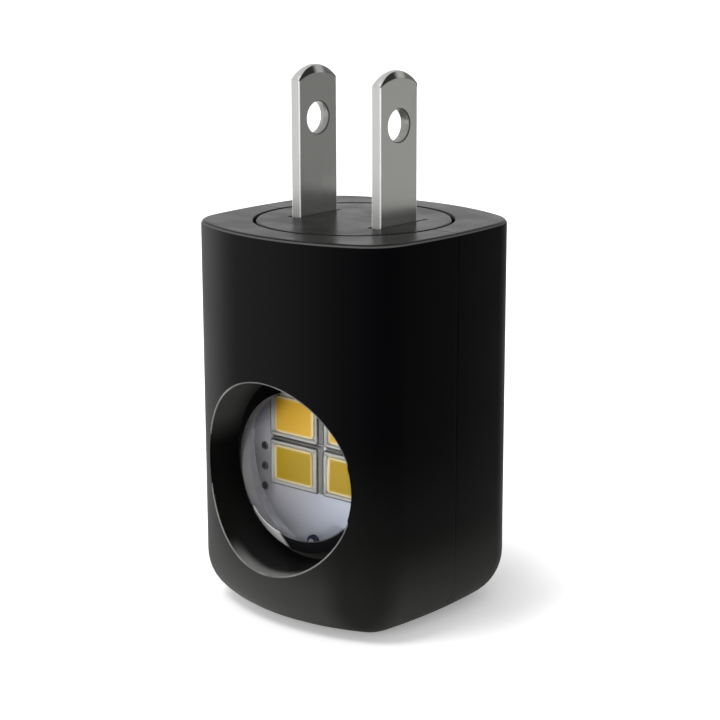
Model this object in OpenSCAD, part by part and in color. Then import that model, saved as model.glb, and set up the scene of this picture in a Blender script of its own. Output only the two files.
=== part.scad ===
// Plug in night light: a small upright box whose two-blade plug turns in its top face,
// with a light board behind a clear lens in a deep round window.
// Lengths are millimetres. The window faces -Y, the blades point to +Z,
// and z = 0 is the face at the foot of the box.

/* [Body] */
// Width of the body over its bowed sides
body_w = 31.9; // [31:0.1:36]
// Depth of the body over its bowed front and back
body_d = 32.3; // [31.5:0.1:36]
// Height of the body, from its foot to the face that meets the wall outlet
body_h = 47.6; // [47:0.1:60]
// Radius of the bow of the front and the back
face_r = 27.5; // [25:0.5:36]
// Radius of the bow of the two sides
side_r = 67.5; // [50:0.5:120]
// Radius of the upright corners and of the rounded foot
edge_r = 6.3; // [5.6:0.1:7]
// Radius of the fine round along the top edge
top_edge_r = 0.5; // [0.2:0.1:1]
// Wall of the two shells
wall = 2; // [1.6:0.1:2.3]

/* [Window] */
// Least width of the front left at each side of the round window
window_side = 4.4; // [4:0.1:6]
// Height left between the window and the housing of the plug
window_head = 4.23; // [3.8:0.01:6]
// Height left between the window and the round of the foot
window_foot = 0.75; // [0.4:0.05:2]
// How far the round wall of the window closes in down to its floor
window_draft = 0.2; // [0.1:0.05:0.4]
// Depth of the window's floor behind the front
window_depth = 7.3; // [6.6:0.1:7.5]
// Thickness of that floor
floor_t = 0.7; // [0.6:0.1:1]
// Mean width of the floor that shows round the lens
floor_w = 1.4; // [1.2:0.1:2]
// How far the lens sits below the middle of the window
lens_drop = 0.5; // [0:0.1:0.8]
// Height of the upright edge of the lens above the floor
lens_rise = 1.3; // [0.8:0.1:1.6]
// Width of the slanted edge of the lens
lens_bevel_w = 2.65; // [1.5:0.05:3]
// Height of that slanted edge
lens_bevel_h = 2.2; // [1.4:0.1:2.4]
// Rise of the dome of the lens
dome_h = 0.8; // [0.4:0.1:1.4]
// Thickness of the flange of the lens
lens_flange_t = 0.9; // [0.8:0.1:1.2]
// Width of the lens flange outside the opening in the floor
lens_flange_w = 2.4; // [2.2:0.1:2.6]

/* [Light board] */
// Gap between the light board and the side walls
led_board_gap = 0.75; // [0.5:0.05:1.2]
// Thickness of the light board and of the driver board
board_t = 1.2; // [0.8:0.1:1.6]
// Gap between the lens flange and the light board
holder_h = 1.8; // [1.4:0.1:2.2]
// Thickness of a light package
led_t = 0.8; // [0.5:0.1:1.2]
// Step from one column of lights to the next, as a share of the opening
led_column_share = 0.432; // [0.4:0.002:0.45]
// Step from one row of lights to the next, as a share of the opening
led_row_share = 0.307; // [0.28:0.001:0.32]
// Rise of the lights above the middle of the window, as a share of the opening
led_rise_share = 0.088; // [0.05:0.002:0.1]
// Gap between two columns of lights
led_column_gap = 1.4; // [1:0.1:2]
// Gap between two rows of lights
led_row_gap = 0.9; // [0.6:0.1:1.4]
// Width and height of the yellow phosphor, as shares of its package
phosphor_shares = [0.8, 0.8];

/* [Turning plug] */
// Width of the top face left beside the round opening
opening_side = 3.85; // [3.6:0.05:4]
// Gap all round the turning disc
ring_gap = 0.35; // [0.3:0.05:0.5]
// Thickness of the lip that holds the disc down
lip_t = 2.2; // [1.8:0.1:2.6]
// How far the flange of the disc reaches under the lip
flange_step = 1.1; // [0.8:0.1:1.2]
// Thickness of that flange
flange_t = 1.4; // [1.2:0.1:1.8]
// Length of the disc below its flange
barrel_h = 3.1; // [2.9:0.1:3.6]
// Diameter of the stub that turns in the contact board
hub_d = 4.8; // [4:0.1:5.2]
// Radial clearance of that stub
hub_fit = 0.05; // [0.03:0.01:0.08]
// Gap between the disc and the shells along the turning axis
axial_gap = 0.3; // [0.25:0.05:0.4]
// Diameter of the rubber friction ring's section
ring_section_d = 1.4; // [1.2:0.1:1.5]

/* [Blades] */
// Width of a blade
blade_w = 6.6; // [6:0.05:6.7]
// Thickness of a blade
blade_t = 1.4; // [1.3:0.01:1.7]
// Reach of a blade beyond the disc
blade_l = 18; // [16:0.1:20]
// Distance between the middles of the two blades
blade_pitch = 12.7; // [12.4:0.1:13]
// Radius of the rounded end of a blade
tip_r = 4.2; // [3.6:0.1:5]
// Thickness left at the end of a blade
tip_t = 0.62; // [0.4:0.01:1]
// Height of the bevels at the end of a blade
tip_bevel_h = 0.85; // [0.5:0.05:1.2]
// Radius of the lower edge of those bevels
tip_bevel_r = 6.6; // [6:0.1:7]
// Diameter of the hole in a blade
blade_hole_d = 3.96; // [3:0.01:4.5]
// Height of that hole above the disc
blade_hole_z = 11.7; // [10:0.1:13]

/* [Contacts] */
// Thickness of the round contact board
contact_board_t = 1.6; // [1.2:0.1:2]
// Thickness of the copper tracks
track_t = 0.2; // [0.1:0.05:0.3]
// Height that a spring brush bows over
brush_bow = 1.4; // [1.2:0.1:1.8]
// Thickness of a spring brush
brush_t = 0.3; // [0.2:0.05:0.4]
// Width of a spring brush
brush_w = 1.6; // [1.2:0.1:2]
// Diameter of a lead wire over its sleeve
lead_d = 1.2; // [0.8:0.1:1.4]

/* [Hidden] */
$fa = 4;
$fs = 0.4;

// Steps to a full turn for the bows, the corners and the edge rounds of the body
face_steps = 56;
side_steps = 120;
corner_steps = 48;
foot_steps = 32;
head_steps = 16;

// One overrun serves every cut, and one fit every still piece in its seat
over = 1;
fit = 0.05;

// Plan of the body: four bows that run into round corners
face_y = face_r - body_d / 2;
side_x = side_r - body_w / 2;
face_reach = face_r - edge_r;
side_reach = side_r - edge_r;
bow_span = norm([side_x, face_y]);
bow_along = (face_reach ^ 2 - side_reach ^ 2 + bow_span ^ 2) / (2 * bow_span);
bow_across = sqrt(face_reach ^ 2 - bow_along ^ 2);
corner_x = (face_y * bow_across - side_x * bow_along) / bow_span;
corner_y = (face_y * bow_along + side_x * bow_across) / bow_span - face_y;
face_a = atan2(corner_x, face_y + corner_y);
side_a = atan2(corner_y, side_x + corner_x);

// Heights in the top, from the outlet face down
lip_z = body_h - lip_t;
flange_top = lip_z - axial_gap;
flange_z = flange_top - flange_t;
groove_z = flange_z - axial_gap;
disc_z = flange_z - barrel_h;
foot_z = disc_z - blade_t;
track_top = foot_z - brush_bow - axial_gap;
contact_top = track_top - track_t;
contact_z = contact_top - contact_board_t;
collar_foot = 1.2;
collar_z = contact_z - collar_foot;

// Radii in the top, from the opening outwards and inwards
opening_r = min(body_w, body_d) / 2 - opening_side;
disc_r = opening_r - ring_gap;
flange_r = disc_r + flange_step;
groove_r = flange_r + ring_gap;
bore_r = groove_r - flange_step / 2;
collar_t = 1.4;
collar_r = groove_r + collar_t;
ring_r = bore_r - axial_gap - ring_section_d / 2;
ring_seat_r = ring_r - ring_section_d / 2;
barrel_r = ring_r;
contact_r = bore_r + flange_step / 4;
board_ledge = 1;
hub_r = hub_d / 2;
hub_tail = 0.8;
disc_edge_r = 0.3;

// Depths behind the window, as places along Y
front_y = -body_d / 2;
window_r = min((collar_z - window_head - window_foot - edge_r) / 2, body_w / 2 - window_side);
window_z = edge_r + window_foot + window_r;
floor_r = window_r - window_draft;
aperture_r = floor_r - floor_w;
lens_fit = 0.1;
lens_r = aperture_r - lens_fit;
lens_face_r = lens_r - lens_bevel_w;
lens_seat = window_depth + floor_t;
lens_y = front_y + lens_seat;
lens_flange_r = aperture_r + lens_flange_w;
holder_y = lens_y + lens_flange_t;
holder_w = 0.8;
led_board_y = holder_y + holder_h;
led_board_back = led_board_y + board_t;
pocket_r = lens_flange_r + lens_fit;
holder_seat_share = 0.25;
pocket_h = lens_flange_t + holder_h * holder_seat_share;
window_boss_t = 1;
window_boss_r = pocket_r + window_boss_t;
holder_r = lens_flange_r - holder_w;

// Seam between the shells: its tongue, pins and bosses share the room in front of it
seam_room = -led_board_back;
tongue_share = 0.28;
boss_share = 0.82;
pin_share = 0.62;
catch_share = 0.24;
tongue_h = seam_room * tongue_share;
tongue_inset = wall / 2;
pin_r = 1;
pin_l = seam_room * pin_share;
boss_r = 1.9;
boss_l = seam_room * boss_share;
boss_inset = 1.5;
boss_gap = 0.4;
boss_x = body_w / 2 - wall - boss_inset;
boss_high_z = collar_z - boss_gap - boss_r;
boss_low_x_share = 0.47;
boss_low_x = body_w / 2 * boss_low_x_share;

// Light board, between the floor and the housing of the plug
board_corner_r = 5;
board_foot_gap = 2.8;
board_head_gap = 2;
led_board_w = body_w - 2 * (wall + led_board_gap);
led_board_low = wall + board_foot_gap;
led_board_h = collar_z - board_head_gap - led_board_low;
led_board_z = led_board_low + led_board_h / 2;
led_pitch_x = 2 * aperture_r * led_column_share;
led_pitch_z = 2 * aperture_r * led_row_share;
led_w = led_pitch_x - led_column_gap;
led_h = led_pitch_z - led_row_gap;
phosphor_w = led_w * phosphor_shares[0];
phosphor_h = led_h * phosphor_shares[1];
led_z = window_z + 2 * aperture_r * led_rise_share;
phosphor_depth = 0.3;
phosphor_corner_r = 0.4;
led_corner_r = 0.3;
catch_w = 4;
catch_t = seam_room * catch_share;
catch_reach = 0.8;
catch_shares = [-0.32, 0.32];
sensor_shares = [-0.155, -0.83];
sensor_r_share = 0.11;
sensor_x = holder_r * sensor_shares[0];
sensor_drop = -holder_r * sensor_shares[1];
sensor_r = holder_r * sensor_r_share;
sensor_t = 0.6;
sensor_dome_share = 0.6;
sensor_dome_r = sensor_r * sensor_dome_share;
header_pin_w = 0.64;
header_share = 0.9;
header_pitch_share = 0.235;
header_x = -(holder_r - header_pin_w) * header_share;
header_pitch = (holder_r - header_pin_w) * header_pitch_share;
header_rise = 0.1;
header_count = 3;
header_strip_w = 2.5;
header_strip_t = 2.5;
pin_tail = 0.3;

// Driver board, set between the light board and the back wall
board_gap_share = 0.283;
board_gap = (body_d / 2 - wall + seam_room) * board_gap_share;
driver_side_gap = 1.75;
driver_foot_gap = 6;
driver_w = body_w - 2 * (wall + driver_side_gap);
driver_z = wall + driver_foot_gap;
driver_h = boss_high_z - boss_r - boss_gap - driver_z;
driver_corner_r = 1;
driver_y = led_board_back + board_gap;
driver_back = driver_y + board_t;
rib_t = 1;
rib_inset = 0.9;

// Parts on the driver board, sized by shares of the board and set side by side from the header
part_gap = 0.35;
fuse_r_share = 0.066;
fuse_waist_share = 0.8;
fuse_l_share = 0.365;
fuse_span_share = 0.485;
fuse_bead_share = 0.25;
fuse_z_share = 0.28;
fuse_r = driver_w * fuse_r_share;
fuse_waist_r = fuse_r * fuse_waist_share;
fuse_l = driver_h * fuse_l_share;
fuse_bead_l = fuse_l * fuse_bead_share;
fuse_span = driver_h * fuse_span_share;
fuse_lead_r = 0.35;
fuse_rise = 2.2;
fuse_x = header_x + header_pin_w + fuse_r + part_gap;
fuse_z = driver_z + driver_h * fuse_z_share;

bridge_size_shares = [0.188, 0.275];
bridge_z_share = 0.275;
bridge_leg_share = 0.42;
bridge_w = driver_w * bridge_size_shares[0];
bridge_h = driver_h * bridge_size_shares[1];
bridge_t = 2.4;
bridge_leg_pitch = bridge_h * bridge_leg_share;
leg_w = 0.45;
leg_t = 0.25;
leg_reach = 1;
bridge_x = fuse_x + fuse_r + part_gap + leg_reach + bridge_w / 2;
bridge_z = driver_z + driver_h * bridge_z_share;

capacitor_r_shares = [0.16, 0.184];
capacitor_z_share = 0.257;
capacitor_r = min(driver_w * capacitor_r_shares[0], driver_h * capacitor_r_shares[1]);
capacitor_x = bridge_x + bridge_w / 2 + leg_reach + part_gap + capacitor_r;
capacitor_z = driver_z + driver_h * capacitor_z_share;
capacitor_l = inner_back(capacitor_x + capacitor_r) - part_gap - driver_back;
capacitor_crimp_r = 0.35;
capacitor_crimp_y = 1.8;
capacitor_edge_r = 0.5;
capacitor_score_w = 0.4;
capacitor_score_t = 0.3;

film_size_shares = [0.53, 0.25];
film_x_share = -0.082;
film_gap = 0.55;
film_l_gap = 1.5;
film_w = driver_w * film_size_shares[0];
film_h = driver_h * film_size_shares[1];
film_x = driver_w * film_x_share;
film_l = inner_back(abs(film_x) + film_w / 2) - film_l_gap - driver_back;
film_corner_r = 0.8;

chip_w = 4;
chip_h = 5;
chip_t = 1.5;
chip_shares = [0.107, 0.6];
chip_x = driver_w * chip_shares[0];
chip_z = driver_z + driver_h * chip_shares[1];
chip_leg_pitch = 1.27;

resistor_w = 3.2;
resistor_h = 1.6;
resistor_t = 0.6;
resistor_shares = [-0.14, 0.36];
resistor_pitch_share = 0.12;
resistor_x = driver_w * resistor_shares[0];
resistor_z = driver_z + driver_h * resistor_shares[1];
resistor_pitch = driver_h * resistor_pitch_share;
resistor_count = 4;

// Contacts
line_x = blade_pitch / 2;
neutral_x = -blade_pitch / 2;
foot_room = sqrt((bore_r - axial_gap) ^ 2 - (blade_w / 2) ^ 2) - line_x - blade_t / 2;
foot_share = 0.6;
foot_l = foot_room * foot_share;
brush_inset_share = 0.5;
brush_inset = foot_l * brush_inset_share;
line_brush_x = line_x + blade_t / 2 + foot_l - brush_inset;
neutral_brush_x = neutral_x + blade_t / 2 + foot_l - brush_inset;
brush_reach_share = 0.61;
brush_reach = sqrt((bore_r - axial_gap) ^ 2 - (line_brush_x + brush_w / 2) ^ 2) * brush_reach_share;
brush_r = (brush_reach ^ 2 + brush_bow ^ 2) / (2 * brush_bow);
rivet_least_r = 0.4;
rivet_share = 0.1;
rivet_r = rivet_least_r + foot_l * rivet_share;
rivet_rim = 0.3;
rivet_head_r = rivet_r + rivet_rim;
rivet_head_t = 0.4;
rivet_head_gap = brush_r - brush_t - sqrt((brush_r - brush_t) ^ 2 - rivet_head_r ^ 2);
track_margin = 0.2;
lead_r = lead_d / 2;
lead_bend_r = 1.4;
lead_stub = 0.3;
lead_y = driver_back + lead_bend_r + lead_stub;
lead_drop = 7.4;
film_z = contact_z - lead_drop - lead_r - film_gap - film_h / 2;
lead_tail = 0.8;
solder_h = 0.6;
solder_w = 0.5;

// Slots in the disc
slot_gap = 0.2;
slot_room = sqrt(ring_seat_r ^ 2 - (line_x + blade_t / 2 + slot_gap) ^ 2) - blade_w / 2 - slot_gap;
slot_run_shares = [0.375, 0.085];
pocket_a = 70;
disc_pocket_in_r = 4;
pocket_wall = 1.55;
disc_pocket_w = ring_seat_r - pocket_wall - disc_pocket_in_r;
disc_pocket_h = 4;

function track_in(x) = norm([abs(x) - brush_w / 2, brush_reach]) - track_margin;
function track_out(x) = norm([abs(x) + brush_w / 2, brush_reach]) + track_margin;
function track_mid(x) = (track_in(x) + track_out(x)) / 2;
function lead_x(x) = sign(x) * sqrt(track_mid(x) ^ 2 - lead_y ^ 2);

// Place along Y of the back wall's inner face
function inner_back(x) = sqrt((face_r - wall) ^ 2 - x ^ 2) - face_y;

// Section of a wall: outer edge at reach, rounded at its foot and at its head
module edge_profile(reach, depth, low, high, foot_r = 0, head_r = 0) {
    translate([reach - depth, low + foot_r])
        square([depth, high - head_r - low - foot_r]);
    if (foot_r > 0) {
        translate([reach - foot_r, low + foot_r]) intersection() {
            circle(foot_r, $fn = foot_steps);
            translate([0, -foot_r]) square(foot_r);
        }
        if (depth > foot_r)
            translate([reach - depth, low]) square([depth - foot_r, foot_r]);
    }
    if (head_r > 0) {
        translate([reach - head_r, high - head_r]) intersection() {
            circle(head_r, $fn = head_steps);
            square(head_r);
        }
        translate([reach - depth, high - head_r]) square([depth - head_r, head_r]);
    }
}

// The body's form, or the same form inset evenly: bowed walls and round corners, wrapped as one
module body_form(inset, low, high, head_r = 0) {
    r = edge_r - inset;
    hull() {
        for (turn = [0, 180]) rotate(turn) {
            translate([0, face_y])
                rotate_extrude(angle = 2 * face_a, start = 270 - face_a, $fn = face_steps)
                    edge_profile(face_r - inset, edge_r, low, high, r, head_r);
            translate([-side_x, 0])
                rotate_extrude(angle = 2 * side_a, start = -side_a, $fn = side_steps)
                    edge_profile(side_r - inset, edge_r, low, high, r, head_r);
        }
        for (mx = [0, 1], my = [0, 1]) mirror([mx, 0, 0]) mirror([0, my, 0])
            translate([corner_x, -corner_y])
                rotate_extrude(angle = 90 - face_a - side_a, start = 270 + face_a, $fn = corner_steps)
                    edge_profile(r, r, low, high, r, head_r);
    }
}

module hollow_body() {
    difference() {
        body_form(0, 0, body_h, top_edge_r);
        body_form(wall, wall, lip_z);
    }
}

// A slab of space on one side of the seam: side is -1 for the front and 1 for the back
module half(side, reach = body_d) {
    translate([-body_w, side < 0 ? -reach : 0, -over])
        cube([2 * body_w, reach, body_h + 2 * over]);
}

// The stepped bore that holds the contact board and the turning disc
module plug_bore() {
    rotate_extrude() polygon([
        [0, collar_z - over], [contact_r - board_ledge, collar_z - over],
        [contact_r - board_ledge, contact_z], [contact_r + fit, contact_z],
        [contact_r + fit, contact_top + fit], [bore_r, contact_top + fit],
        [bore_r, groove_z], [groove_r, groove_z], [groove_r, lip_z],
        [opening_r, lip_z], [opening_r, body_h + over], [0, body_h + over]]);
}

module collar() {
    translate([0, 0, collar_z]) cylinder(r = collar_r, h = lip_z - collar_z + wall / 2);
}

// Places of the locating pins: two at the side walls and two on the floor, each with x towards its wall
module at_bosses() {
    for (mx = [0, 1]) mirror([mx, 0, 0]) {
        translate([boss_x, 0, boss_high_z]) children();
        translate([boss_low_x, 0, wall + boss_inset]) rotate([0, 90, 0]) children();
    }
}

// Turned about the window's axis, with z as the depth behind the front
module at_window() {
    translate([0, front_y, window_z]) rotate([-90, 0, 0]) children();
}

// The window down to its floor, the opening for the lens and the pocket behind it
module window_cut() {
    at_window() {
        rotate_extrude() polygon([
            [0, -over], [window_r, -over], [window_r, 0], [floor_r, window_depth], [0, window_depth]]);
        translate([0, lens_drop, 0]) cylinder(r = aperture_r, h = lens_seat + over);
        translate([0, 0, lens_seat]) cylinder(r = pocket_r, h = pocket_h + over);
    }
}

module seam_ring(outer, inner, reach) {
    intersection() {
        difference() {
            body_form(outer, outer, collar_z - fit);
            body_form(inner, inner, collar_z + over);
        }
        half(-1, reach);
    }
}

// Boss that carries the lens, cut to the bow of the front at half the wall
module window_boss() {
    intersection() {
        at_window() cylinder(r = window_boss_r, h = lens_seat + pocket_h);
        translate([0, face_y, 0]) cylinder(r = face_r - wall / 2, h = body_h);
    }
}

module front_shell() {
    color("#1b1b1d") difference() {
        union() {
            difference() {
                intersection() {
                    hollow_body();
                    half(-1);
                }
                seam_ring(tongue_inset - fit, wall + fit, tongue_h + fit);
            }
            intersection() {
                collar();
                half(-1);
            }
            window_boss();
            at_bosses() socket_boss();
            board_catches();
        }
        plug_bore();
        window_cut();
        at_bosses() rotate([90, 0, 0]) translate([0, 0, -over])
            cylinder(r = pin_r + fit, h = pin_l + fit + over);
    }
}

// Boss for a locating pin, notched where the tongue of the other shell passes
module socket_boss() {
    difference() {
        rotate([90, 0, 0]) cylinder(r = boss_r, h = boss_l);
        translate([boss_inset - fit, -tongue_h - fit, -boss_r - over])
            cube([boss_r, tongue_h + fit + over, 2 * (boss_r + over)]);
    }
}

// Small catches on the side walls that hold the light board from behind
module board_catches() {
    for (mx = [0, 1], share = catch_shares)
        mirror([mx, 0, 0])
            translate([led_board_w / 2 - catch_reach, led_board_back,
                       led_board_z + share * led_board_h - catch_w / 2])
                cube([wall + catch_reach, catch_t, catch_w]);
}

module rear_shell() {
    color("#1b1b1d") difference() {
        union() {
            intersection() {
                hollow_body();
                half(1);
            }
            intersection() {
                collar();
                half(1);
            }
            at_bosses() rotate([-90, 0, 0]) cylinder(r = boss_r, h = boss_l);
            board_ribs();
            seam_ring(tongue_inset, wall, tongue_h);
            at_bosses() rotate([90, 0, 0]) cylinder(r = pin_r, h = pin_l);
        }
        plug_bore();
    }
}

// Two upright ribs on the back wall that carry the driver board
module board_ribs() {
    rib_x = driver_w / 2 - rib_inset;
    rib_end = sqrt((face_r - wall / 2) ^ 2 - rib_x ^ 2) - face_y;
    for (mx = [0, 1])
        mirror([mx, 0, 0])
            translate([rib_x, driver_back, driver_z + driver_corner_r])
                cube([rib_t, rib_end - driver_back, driver_h - 2 * driver_corner_r]);
}

// A flat plate with round corners, standing across Y, its front face at y = 0
module plate(w, h, t, r) {
    rotate([-90, 0, 0]) linear_extrude(t) {
        square([w - 2 * r, h], center = true);
        square([w, h - 2 * r], center = true);
        for (mx = [-1, 1], my = [-1, 1])
            translate([mx * (w / 2 - r), my * (h / 2 - r)]) circle(r);
    }
}

module dome_lens() {
    face_depth = window_depth - lens_rise - lens_bevel_h;
    dome_r = (lens_face_r ^ 2 + dome_h ^ 2) / (2 * dome_h);
    color([0.85, 0.92, 0.98, 0.45]) at_window() union() {
        translate([0, 0, lens_seat]) cylinder(r = lens_flange_r, h = lens_flange_t);
        translate([0, lens_drop, 0]) {
            translate([0, 0, window_depth - lens_rise])
                cylinder(r = lens_r, h = lens_rise + floor_t);
            translate([0, 0, face_depth])
                cylinder(r1 = lens_face_r, r2 = lens_r, h = lens_bevel_h);
            intersection() {
                translate([0, 0, face_depth - dome_h + dome_r]) sphere(dome_r);
                translate([0, 0, face_depth - dome_h]) cylinder(r = lens_face_r, h = dome_h);
            }
        }
    }
}

// White ring that presses the lens forward and whose bore frames the lights
module lens_holder() {
    color("#e8e8ea") at_window() translate([0, 0, holder_y - front_y]) difference() {
        cylinder(r = lens_flange_r, h = holder_h);
        translate([0, 0, -over]) cylinder(r = lens_flange_r - holder_w, h = holder_h + 2 * over);
    }
}

module at_header() {
    for (i = [0 : header_count - 1])
        translate([header_x, 0, window_z + header_rise - i * header_pitch]) children();
}

// A square pin along Y, from y = low to y = high
module square_pin(w, low, high) {
    translate([-w / 2, low, -w / 2]) cube([w, high - low, w]);
}

module led_board() {
    color("#e9e9ee") difference() {
        translate([0, led_board_y, led_board_z]) plate(led_board_w, led_board_h, board_t, board_corner_r);
        at_header() square_pin(header_pin_w + 2 * fit, led_board_y - over, led_board_back + over);
    }
}

module at_leds() {
    for (column = [-1, 1], row = [-1, 1])
        translate([column * led_pitch_x / 2, led_board_y, led_z + row * led_pitch_z / 2]) children();
}

module led_packages() {
    color("#f4f4f0") at_leds() difference() {
        translate([0, -led_t, 0]) plate(led_w, led_h, led_t, led_corner_r);
        translate([0, -led_t - over, 0])
            plate(phosphor_w, phosphor_h, phosphor_depth + over, phosphor_corner_r);
    }
}

module led_phosphors() {
    color("#d8ab22") at_leds() translate([0, -led_t, 0])
        plate(phosphor_w, phosphor_h, phosphor_depth, phosphor_corner_r);
}

// Daylight sensor: a dark round body with a pale dome
module light_sensor() {
    color("#26304a") translate([sensor_x, led_board_y, window_z - sensor_drop]) rotate([90, 0, 0]) {
        cylinder(r = sensor_r, h = sensor_t);
        intersection() {
            translate([0, 0, sensor_t]) sphere(sensor_dome_r);
            cylinder(r = sensor_r, h = sensor_t + sensor_dome_r);
        }
    }
}

module header_pins() {
    color("#b9a25a") at_header()
        square_pin(header_pin_w, led_board_y - pin_tail, driver_back);
}

module header_strip() {
    span = (header_count - 1) * header_pitch;
    color("#202022") difference() {
        translate([header_x - header_strip_w / 2, led_board_back,
                   window_z + header_rise - span - header_strip_w / 2])
            cube([header_strip_w, header_strip_t, span + header_strip_w]);
        at_header() square_pin(header_pin_w + 2 * fit, led_board_back - over, driver_y);
    }
}

module at_leads() {
    for (x = [line_brush_x, neutral_brush_x])
        translate([lead_x(x), 0, 0]) children();
}

module driver_board() {
    lead_foot = contact_z - lead_drop;
    color("#3a6b46") difference() {
        translate([0, driver_y, driver_z + driver_h / 2]) plate(driver_w, driver_h, board_t, driver_corner_r);
        at_header() square_pin(header_pin_w + 2 * fit, driver_y - over, driver_back + over);
        at_leads() translate([0, driver_y - over, lead_foot]) rotate([-90, 0, 0])
            cylinder(r = lead_r + fit, h = board_t + 2 * over);
        for (end = [-1, 1])
            translate([fuse_x, driver_y - over, fuse_z + end * fuse_span / 2]) rotate([-90, 0, 0])
                cylinder(r = fuse_lead_r + fit, h = board_t + 2 * over);
    }
}

module smoothing_capacitor() {
    color("#2b3550") translate([capacitor_x, driver_back, capacitor_z]) rotate([-90, 0, 0]) difference() {
        rotate_extrude() difference() {
            edge_profile(capacitor_r, capacitor_r, 0, capacitor_l, 0, capacitor_edge_r);
            translate([capacitor_r, capacitor_crimp_y]) circle(capacitor_crimp_r);
        }
        for (turn = [0, 90]) rotate(turn)
            translate([-capacitor_r / 2, -capacitor_score_w / 2, capacitor_l - capacitor_score_t])
                cube([capacitor_r, capacitor_score_w, capacitor_score_t + over]);
    }
}

module film_capacitor() {
    color("#a8452e") translate([film_x, driver_back, film_z]) plate(film_w, film_h, film_l, film_corner_r);
}

// Axial fuse resistor: a waisted body on two legs bent down into the board
module fuse_resistor() {
    bead = fuse_l / 2 - fuse_bead_l;
    straight = fuse_span / 2 - fuse_rise / 2;
    color("#4d6a55") translate([fuse_x, driver_back + fuse_rise, fuse_z]) {
        cylinder(r = fuse_waist_r, h = 2 * bead, center = true);
        for (end = [0, 1]) mirror([0, 0, end]) {
            translate([0, 0, bead]) cylinder(r = fuse_r, h = fuse_bead_l);
            cylinder(r = fuse_lead_r, h = straight);
            translate([0, -fuse_rise / 2, straight]) rotate([90, 0, 90])
                rotate_extrude(angle = 90) translate([fuse_rise / 2, 0]) circle(fuse_lead_r);
            translate([0, -fuse_rise / 2, fuse_span / 2]) rotate([90, 0, 0])
                cylinder(r = fuse_lead_r, h = fuse_rise / 2 + board_t);
        }
    }
}

// A moulded package flat on a board: legs in two rows, seated at z = 0
module gull_package(w, h, t, pitch, count) {
    translate([-w / 2, -h / 2, leg_t]) cube([w, h, t - leg_t]);
    for (side = [0, 1], i = [0 : count - 1]) mirror([side, 0, 0])
        translate([w / 2, (i - (count - 1) / 2) * pitch - leg_w / 2, 0]) {
            cube([leg_reach, leg_w, leg_t]);
            cube([leg_t, leg_w, t / 2]);
        }
}

module bridge_rectifier() {
    color("#18181a") translate([bridge_x, driver_back, bridge_z]) rotate([-90, 0, 0])
        gull_package(bridge_w, bridge_h, bridge_t, bridge_leg_pitch, 2);
}

module driver_chip() {
    color("#18181a") translate([chip_x, driver_y, chip_z]) rotate([90, 0, 0])
        gull_package(chip_w, chip_h, chip_t, chip_leg_pitch, 4);
}

module chip_resistors() {
    color("#3b3b40") for (i = [0 : resistor_count - 1])
        translate([resistor_x, driver_y, resistor_z + i * resistor_pitch]) rotate([90, 0, 0]) {
            translate([-resistor_w / 2, -resistor_h / 2, 0]) cube([resistor_w, resistor_h, resistor_t]);
        }
}

module contact_board() {
    color("#3a6b46") difference() {
        translate([0, 0, contact_z]) cylinder(r = contact_r, h = contact_board_t);
        translate([0, 0, contact_z - over]) cylinder(r = hub_r + hub_fit, h = contact_board_t + 2 * over);
        at_leads() translate([0, lead_y, contact_z - over])
            cylinder(r = lead_r + fit, h = contact_board_t + 2 * over);
    }
}

module track(x) {
    color("#c77b3c") translate([0, 0, contact_top]) difference() {
        cylinder(r = track_out(x), h = track_t);
        translate([0, 0, -over]) cylinder(r = track_in(x), h = track_t + 2 * over);
    }
}

module inner_track() {
    track(neutral_brush_x);
}

module outer_track() {
    track(line_brush_x);
}

// A stiff lead: down from the contact board, round a bend, forward into the driver board
module lead(x) {
    foot = contact_z - lead_drop;
    translate([lead_x(x), 0, 0]) {
        translate([0, lead_y, foot + lead_bend_r]) cylinder(r = lead_r, h = contact_top - foot - lead_bend_r);
        translate([0, lead_y - lead_bend_r, foot + lead_bend_r]) rotate([0, 90, 0])
            rotate_extrude(angle = 90) translate([lead_bend_r, 0]) circle(lead_r);
        translate([0, driver_y - lead_tail, foot]) rotate([-90, 0, 0])
            cylinder(r = lead_r, h = lead_y - lead_bend_r - driver_y + lead_tail);
    }
}

module line_lead() {
    color("#303033") lead(line_brush_x);
}

module neutral_lead() {
    color("#d9d9d6") lead(neutral_brush_x);
}

// Cones of solder where the pins and leads meet the front of the driver board
module solder_joints() {
    color("#b8bcc2") {
        at_header() translate([0, driver_y, 0]) rotate([90, 0, 0]) difference() {
            cylinder(r1 = header_pin_w + solder_w, r2 = header_pin_w, h = pin_tail);
            translate([-header_pin_w / 2, -header_pin_w / 2, -over])
                cube([header_pin_w, header_pin_w, pin_tail + 2 * over]);
        }
        at_leads() translate([0, driver_y, contact_z - lead_drop]) rotate([90, 0, 0]) difference() {
            cylinder(r1 = lead_r + solder_w, r2 = lead_r + fit, h = solder_h);
            translate([0, 0, -over]) cylinder(r = lead_r, h = solder_h + 2 * over);
        }
    }
}

// A slot for one blade, longer on one side than the blade
module blade_slot(x, run) {
    translate([x - blade_t / 2 - slot_gap, -blade_w / 2 - slot_gap, disc_z - over])
        cube([blade_t + 2 * slot_gap, blade_w + 2 * slot_gap + run, body_h - disc_z + 2 * over]);
}

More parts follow.
